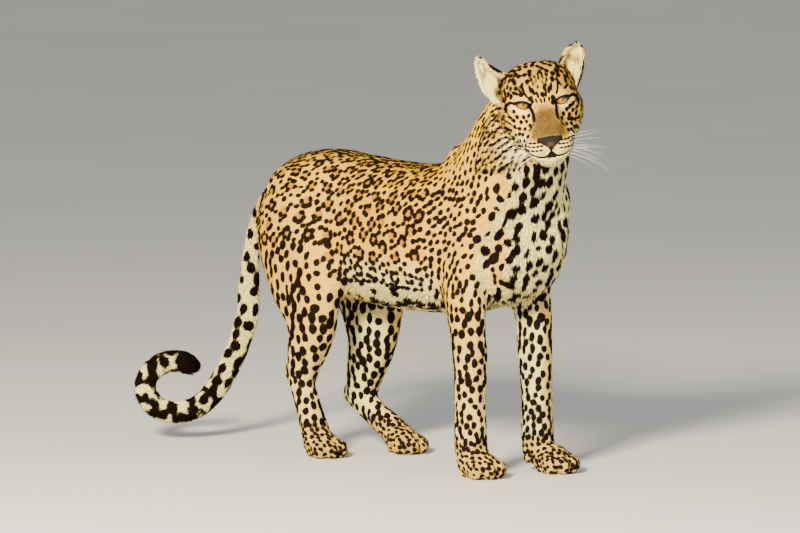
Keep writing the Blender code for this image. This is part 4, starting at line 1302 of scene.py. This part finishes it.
def build_whiskers(head, points):
    """The long white whiskers of both lip pads."""
    draw = np.random.default_rng(SEED + 70)
    tubes = []
    for sign in (-1, 1):
        for row, (up, count) in enumerate(WHISKER_ROWS):
            for k in range(count):
                out = 17 + 25 * (k + draw.uniform(-0.2, 0.2)) / (count - 1)
                aim = np.array((60 - 0.55 * out, sign * out, up - 0.2 * out))
                root = points[((head - aim) ** 2).sum(axis=1).argmin()]
                first = (0.15, sign, 0.12 - 0.16 * row + draw.uniform(-0.08, 0.08))
                last = (-0.30, sign * 0.8, -0.10 - 0.24 * row + draw.uniform(-0.15, 0.15))
                length = draw.uniform(0.060, 0.098)
                tubes.append(whisker_tube(root, unit(np.array(first)) @ HEAD_AXES.T,
                                          unit(np.array(last)) @ HEAD_AXES.T, length))
    faces = tube_faces()
    size = len(tubes[0])
    every = np.concatenate([faces + size * number for number in range(len(tubes))])
    whiskers = new_object("whiskers", np.concatenate(tubes), every)
    along = np.repeat(np.linspace(0, 1, WHISKER_STEPS + 1), WHISKER_SIDES)
    set_field(whiskers.data, "along", np.tile(along, len(tubes)))
    return whiskers


# Materials.


class Nodes:
    """Adds nodes to a shader tree. Each value given is a socket to link or a plain value to set."""

    def __init__(self, tree):
        self.tree = tree

    def put(self, socket, value):
        if isinstance(value, bpy.types.NodeSocket):
            self.tree.links.new(value, socket)
        elif value is not None:
            socket.default_value = value

    def math(self, operation, first, second=None):
        node = self.tree.nodes.new("ShaderNodeMath")
        node.operation = operation
        self.put(node.inputs[0], first)
        self.put(node.inputs[1], second)
        return node.outputs[0]

    def mix(self, share, first, second, way="MIX"):
        node = self.tree.nodes.new("ShaderNodeMix")
        node.data_type = "RGBA"
        node.blend_type = way
        self.put(node.inputs["Factor"], share)
        self.put(node.inputs[6], first)
        self.put(node.inputs[7], second)
        return node.outputs[2]

    def ramp(self, value, low, high, start=0.0, end=1.0):
        """A smooth rise from start to end as the value goes from low to high."""
        node = self.tree.nodes.new("ShaderNodeMapRange")
        node.interpolation_type = "SMOOTHSTEP"
        self.put(node.inputs["Value"], value)
        self.put(node.inputs["From Min"], low)
        self.put(node.inputs["From Max"], high)
        self.put(node.inputs["To Min"], start)
        self.put(node.inputs["To Max"], end)
        return node.outputs[0]

    def field(self, name):
        node = self.tree.nodes.new("ShaderNodeAttribute")
        node.attribute_name = name
        return node.outputs["Fac"]

    def place(self):
        return self.tree.nodes.new("ShaderNodeTexCoord").outputs["Object"]

    def noise(self, place, scale, detail=2.0):
        node = self.tree.nodes.new("ShaderNodeTexNoise")
        self.put(node.inputs["Vector"], place)
        self.put(node.inputs["Scale"], scale)
        self.put(node.inputs["Detail"], detail)
        return node.outputs[0]

    def cells(self, place, scale):
        node = self.tree.nodes.new("ShaderNodeTexVoronoi")
        self.put(node.inputs["Vector"], place)
        self.put(node.inputs["Scale"], scale)
        return node.outputs["Distance"]

    def bump(self, height, depth):
        node = self.tree.nodes.new("ShaderNodeBump")
        self.put(node.inputs["Height"], height)
        self.put(node.inputs["Distance"], depth)
        return node.outputs[0]


def solid(colour):
    """A colour with nothing to see through, as sockets take it."""
    return (*colour, 1.0)


def new_group(name, inputs, outputs):
    """A shader group with named inputs and outputs, and its first and last node."""
    group = bpy.data.node_groups.new(name, "ShaderNodeTree")
    for label, kind, value in inputs:
        socket = group.interface.new_socket(label, in_out="INPUT", socket_type="NodeSocket" + kind)
        if value is not None:
            socket.default_value = value
    for label, kind in outputs:
        group.interface.new_socket(label, in_out="OUTPUT", socket_type="NodeSocket" + kind)
    return group, group.nodes.new("NodeGroupInput").outputs, group.nodes.new("NodeGroupOutput").inputs


def coat_colour_group():
    """The colour of the coat from its fields: cream or gold ground, tawny hearts, black marks, and
    painted shade toward the tufts' roots.
    """
    group, given, out = new_group(
        "coat colour",
        [("Spot", "Float", -1.0), ("Heart", "Float", -1.0), ("Pale", "Float", 0.0),
         ("Warm", "Float", 0.0), ("Vary", "Float", 0.5), ("Tip", "Float", 0.5)],
        [("Colour", "Color")])
    nodes = Nodes(group)
    ground = nodes.mix(given["Pale"], solid(GOLD), solid(CREAM))
    ground = nodes.mix(given["Warm"], ground, solid(TAN))
    heart = nodes.math("MULTIPLY", nodes.ramp(given["Heart"], -0.05, 0.35), 0.75)
    heart = nodes.math("MULTIPLY", heart, nodes.ramp(given["Pale"], 0.7, 0.1))
    ground = nodes.mix(heart, ground, solid(TAWNY))
    # Painted shade: each tuft is darker toward its root and lighter at its tip, times a random tone for
    # each tuft.
    shade = nodes.ramp(given["Tip"], 0.0, 1.0, 0.66, 1.06)
    shade = nodes.math("MULTIPLY", shade, nodes.ramp(given["Vary"], -0.3, 1.3, 0.78, 1.2))
    ground = nodes.mix(1.0, ground, nodes.mix(1.0, shade, solid((1, 1, 1)), "MULTIPLY"), "MULTIPLY")
    black = nodes.ramp(given["Spot"], -0.07, 0.10)
    nodes.put(out["Colour"], nodes.mix(black, ground, solid(BLACK)))
    return group


def new_material(name):
    """An empty material and its tree's helper, with its shader node."""
    material = bpy.data.materials.new(name)
    material.use_nodes = True
    return material, Nodes(material.node_tree), material.node_tree.nodes["Principled BSDF"]


def coat_colour(nodes, group, vary, tip):
    """The coat's colour in a material, read from the mesh's fields."""
    node = nodes.tree.nodes.new("ShaderNodeGroup")
    node.node_tree = group
    for label in ("Spot", "Heart", "Pale", "Warm"):
        nodes.put(node.inputs[label], nodes.field(label.lower()))
    nodes.put(node.inputs["Vary"], vary)
    nodes.put(node.inputs["Tip"], tip)
    return node.outputs["Colour"]


def tuft_material(group):
    """Dull hair, a little less shiny where it is black."""
    material, nodes, shader = new_material("fur tufts")
    colour = coat_colour(nodes, group, nodes.field("vary"), nodes.field("tip"))
    nodes.put(shader.inputs["Base Color"], colour)
    shader.inputs["Roughness"].default_value = 0.62
    shine = nodes.ramp(nodes.field("spot"), -0.05, 0.10, 0.06, 0.04)
    nodes.put(shader.inputs["Specular IOR Level"], shine)
    return material


def skin_material(group):
    """Short flat fur as colour and bump, darkened as painted shade of the coat over it, with leather
    where the nose is bare.
    """
    material, nodes, shader = new_material("skin under the fur")
    place = nodes.place()
    fine = nodes.noise(place, 620, 3.0)
    # Tip 0.35 makes the skin as dark as a tuft near its root: painted shade of the coat over it.
    colour = coat_colour(nodes, group, fine, 0.35)
    leather = nodes.ramp(nodes.field("leather"), -0.10, 0.12)
    pores = nodes.cells(place, 900)
    hide = nodes.mix(nodes.field("warm"), solid(LEATHER), solid(LEATHER_PINK))
    hide = nodes.mix(nodes.ramp(pores, 0.1, 0.6, 0.45, 0.0), hide, solid(BLACK))
    hide = nodes.mix(nodes.ramp(nodes.field("spot"), -0.1, 0.4), hide, solid(BLACK))
    nodes.put(shader.inputs["Base Color"], nodes.mix(leather, colour, hide))
    nodes.put(shader.inputs["Roughness"], nodes.ramp(leather, 0, 1, 0.75, 0.45))
    height = nodes.mix(leather, fine, pores)
    nodes.put(shader.inputs["Normal"], nodes.bump(height, 0.0009))
    shader.inputs["Specular IOR Level"].default_value = 0.14
    return material


# The eye: the radius of the iris and of the pupil in millimetres, and the colours.
IRIS = 11.2
PUPIL = 2.0
IRIS_INNER = (0.36, 0.205, 0.012)
IRIS_OUTER = (0.20, 0.110, 0.008)
IRIS_FIBRE = (0.09, 0.045, 0.006)
IRIS_RIM = (0.020, 0.012, 0.006)
PUPIL_BLACK = (0.002, 0.002, 0.002)
WHITE_DARK = (0.030, 0.016, 0.010)
WHITE_LIGHT = (0.085, 0.052, 0.034)
# The colour of the upper lid's painted shadow across the top of the eye.
UPPER_LID_SHADOW = (0.010, 0.006, 0.003)


def eye_material():
    """A wet eye: dark white, amber iris with fibres and a dark rim, round pupil, and a painted shadow of
    the upper lid across its top.
    """
    material, nodes, shader = new_material("eye")
    split = nodes.tree.nodes.new("ShaderNodeSeparateXYZ")
    place = nodes.place()
    nodes.put(split.inputs[0], place)
    across = nodes.math("POWER", nodes.math("MULTIPLY", split.outputs[0], 1000), 2)
    up = nodes.math("POWER", nodes.math("MULTIPLY", split.outputs[1], 1000), 2)
    out = nodes.math("SQRT", nodes.math("ADD", across, up))
    angle = nodes.math("ARCTAN2", split.outputs[1], split.outputs[0])
    join = nodes.tree.nodes.new("ShaderNodeCombineXYZ")
    nodes.put(join.inputs[0], nodes.math("MULTIPLY", angle, 5.5))
    nodes.put(join.inputs[1], nodes.math("MULTIPLY", out, 0.16))
    fibre = nodes.noise(join.outputs[0], 2.2, 3.0)
    iris = nodes.mix(nodes.ramp(out, PUPIL, IRIS * 0.85), solid(IRIS_INNER), solid(IRIS_OUTER))
    iris = nodes.mix(nodes.ramp(fibre, 0.35, 0.75, 0.0, 0.5), iris, solid(IRIS_FIBRE))
    iris = nodes.mix(nodes.ramp(out, IRIS * 0.80, IRIS * 0.97), iris, solid(IRIS_RIM))
    iris = nodes.mix(nodes.ramp(out, PUPIL + 0.25, PUPIL - 0.25), iris, solid(PUPIL_BLACK))
    white = nodes.mix(nodes.noise(place, 90), solid(WHITE_DARK), solid(WHITE_LIGHT))
    ball = nodes.mix(nodes.ramp(out, IRIS, IRIS + 0.4), iris, white)
    # Painted shadow of the upper lid: the eye darkens toward its top.
    lid_shadow = nodes.ramp(nodes.math("MULTIPLY", split.outputs[1], 1000), -0.5, 3.8, 0.0, 0.93)
    nodes.put(shader.inputs["Base Color"], nodes.mix(lid_shadow, ball, solid(UPPER_LID_SHADOW)))
    shader.inputs["Roughness"].default_value = 0.45
    shader.inputs["Specular IOR Level"].default_value = 0.15
    shader.inputs["Coat Weight"].default_value = 0.22
    shader.inputs["Coat Roughness"].default_value = 0.03
    return material


def whisker_material():
    """White hair that starts brown at its root."""
    material, nodes, shader = new_material("whiskers")
    along = nodes.field("along")
    colour = nodes.mix(nodes.ramp(along, 0, 0.08), solid((0.25, 0.2, 0.15)), solid((0.88, 0.86, 0.80)))
    nodes.put(shader.inputs["Base Color"], colour)
    shader.inputs["Roughness"].default_value = 0.35
    return material


def floor_material():
    """Pale matt grey with faint broad clouds."""
    material, nodes, shader = new_material("floor")
    tone = nodes.ramp(nodes.noise(nodes.place(), 0.9, 2.0), 0.3, 0.7, 0.0, 1.0)
    colour = nodes.mix(tone, solid((0.66, 0.65, 0.63)), solid((0.69, 0.68, 0.66)))
    nodes.put(shader.inputs["Base Color"], colour)
    shader.inputs["Roughness"].default_value = 0.9
    return material


# The camera, the light and the floor.

FLOOR_HALF = 60
LIT_PLACE = Vector((0, 0, 0.45))  # where the lamps are aimed


def add_camera():
    """A long lens far off, aimed beside and above the middle of the paws."""
    turn, tilt = math.radians(CAMERA_TURN), math.radians(CAMERA_TILT)
    right = Vector((math.cos(turn), math.sin(turn), 0))
    ahead = Vector((-math.sin(turn) * math.cos(tilt), math.cos(turn) * math.cos(tilt), -math.sin(tilt)))
    up = right.cross(ahead)
    target = Vector(PAWS_MIDDLE) + right * AIM_RIGHT + up * AIM_UP
    camera = placed("camera", bpy.data.cameras.new("camera"))
    camera.data.sensor_width = 36
    camera.data.lens = CAMERA_LENS
    camera.data.clip_end = 200
    camera.location = target - ahead * CAMERA_FAR
    camera.rotation_euler = ahead.to_track_quat("-Z", "Y").to_euler()
    bpy.context.scene.camera = camera


def add_light(name, place, size, power, colour):
    """A square lamp at a place, aimed at the middle of the body."""
    lamp = placed(name, bpy.data.lights.new(name, "AREA"))
    lamp.location = place
    lamp.data.size = size
    lamp.data.energy = power
    lamp.data.color = colour
    lamp.rotation_euler = (LIT_PLACE - Vector(place)).to_track_quat("-Z", "Y").to_euler()


def add_world(colour, strength):
    """Even light from all round."""
    world = bpy.data.worlds.new("studio")
    bpy.context.scene.world = world
    world.use_nodes = True
    background = world.node_tree.nodes["Background"]
    background.inputs["Color"].default_value = solid(colour)
    background.inputs["Strength"].default_value = strength


def build_floor():
    """A wide square floor round the paws."""
    square = ((-1, -1), (1, -1), (1, 1), (-1, 1))
    corners = [(FLOOR_HALF * x, FLOOR_HALF * y, 0) for x, y in square]
    return new_object("floor", corners, [(0, 1, 2, 3)])


# The model.

skin_mesh = build_skin()
is_ear, ear_height, ear_cup = add_ears(skin_mesh)
skin_parts = read_skin(skin_mesh, is_ear, ear_height, ear_cup)
for field_name, field_values in skin_parts["fields"].items():
    set_field(skin_mesh, field_name, field_values)
labels, node_names = node_labels(skin_parts["points"], is_ear, ear_cup)
skin_map = unwrap(skin_mesh, skin_parts["points"], labels)
add_map(skin_mesh, skin_map)
coat_group = coat_colour_group()
skin_mesh.materials.clear()
skin_mesh.materials.append(skin_material(coat_group))
skin = placed("skin", skin_mesh)
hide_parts(*FLESH, "ear_left", "ear_right")
fur = grow_coat(skin_mesh, skin_parts, skin_map, labels, node_names, tuft_material(coat_group))
whiskers = build_whiskers(skin_parts["head"], skin_parts["points"])
whiskers.data.materials.append(whisker_material())
for piece in [skin, whiskers, *fur]:
    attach(piece, "root")

eye_look = eye_material()
for side in ("left", "right"):
    eye = build_eye(side)
    eye.data.materials.append(eye_look)
    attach(eye, "root")
    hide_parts("eye_" + side)

floor = build_floor()
floor.data.materials.append(floor_material())
add_camera()
add_light("key", place=(2.5, -4.3, 2.5), size=1.0, power=1080, colour=(1.0, 0.92, 0.68))
add_light("fill", place=(4.6, 1.0, 2.6), size=3.0, power=60, colour=(0.86, 0.93, 1.0))
add_world(colour=(0.84, 0.83, 0.81), strength=0.62)
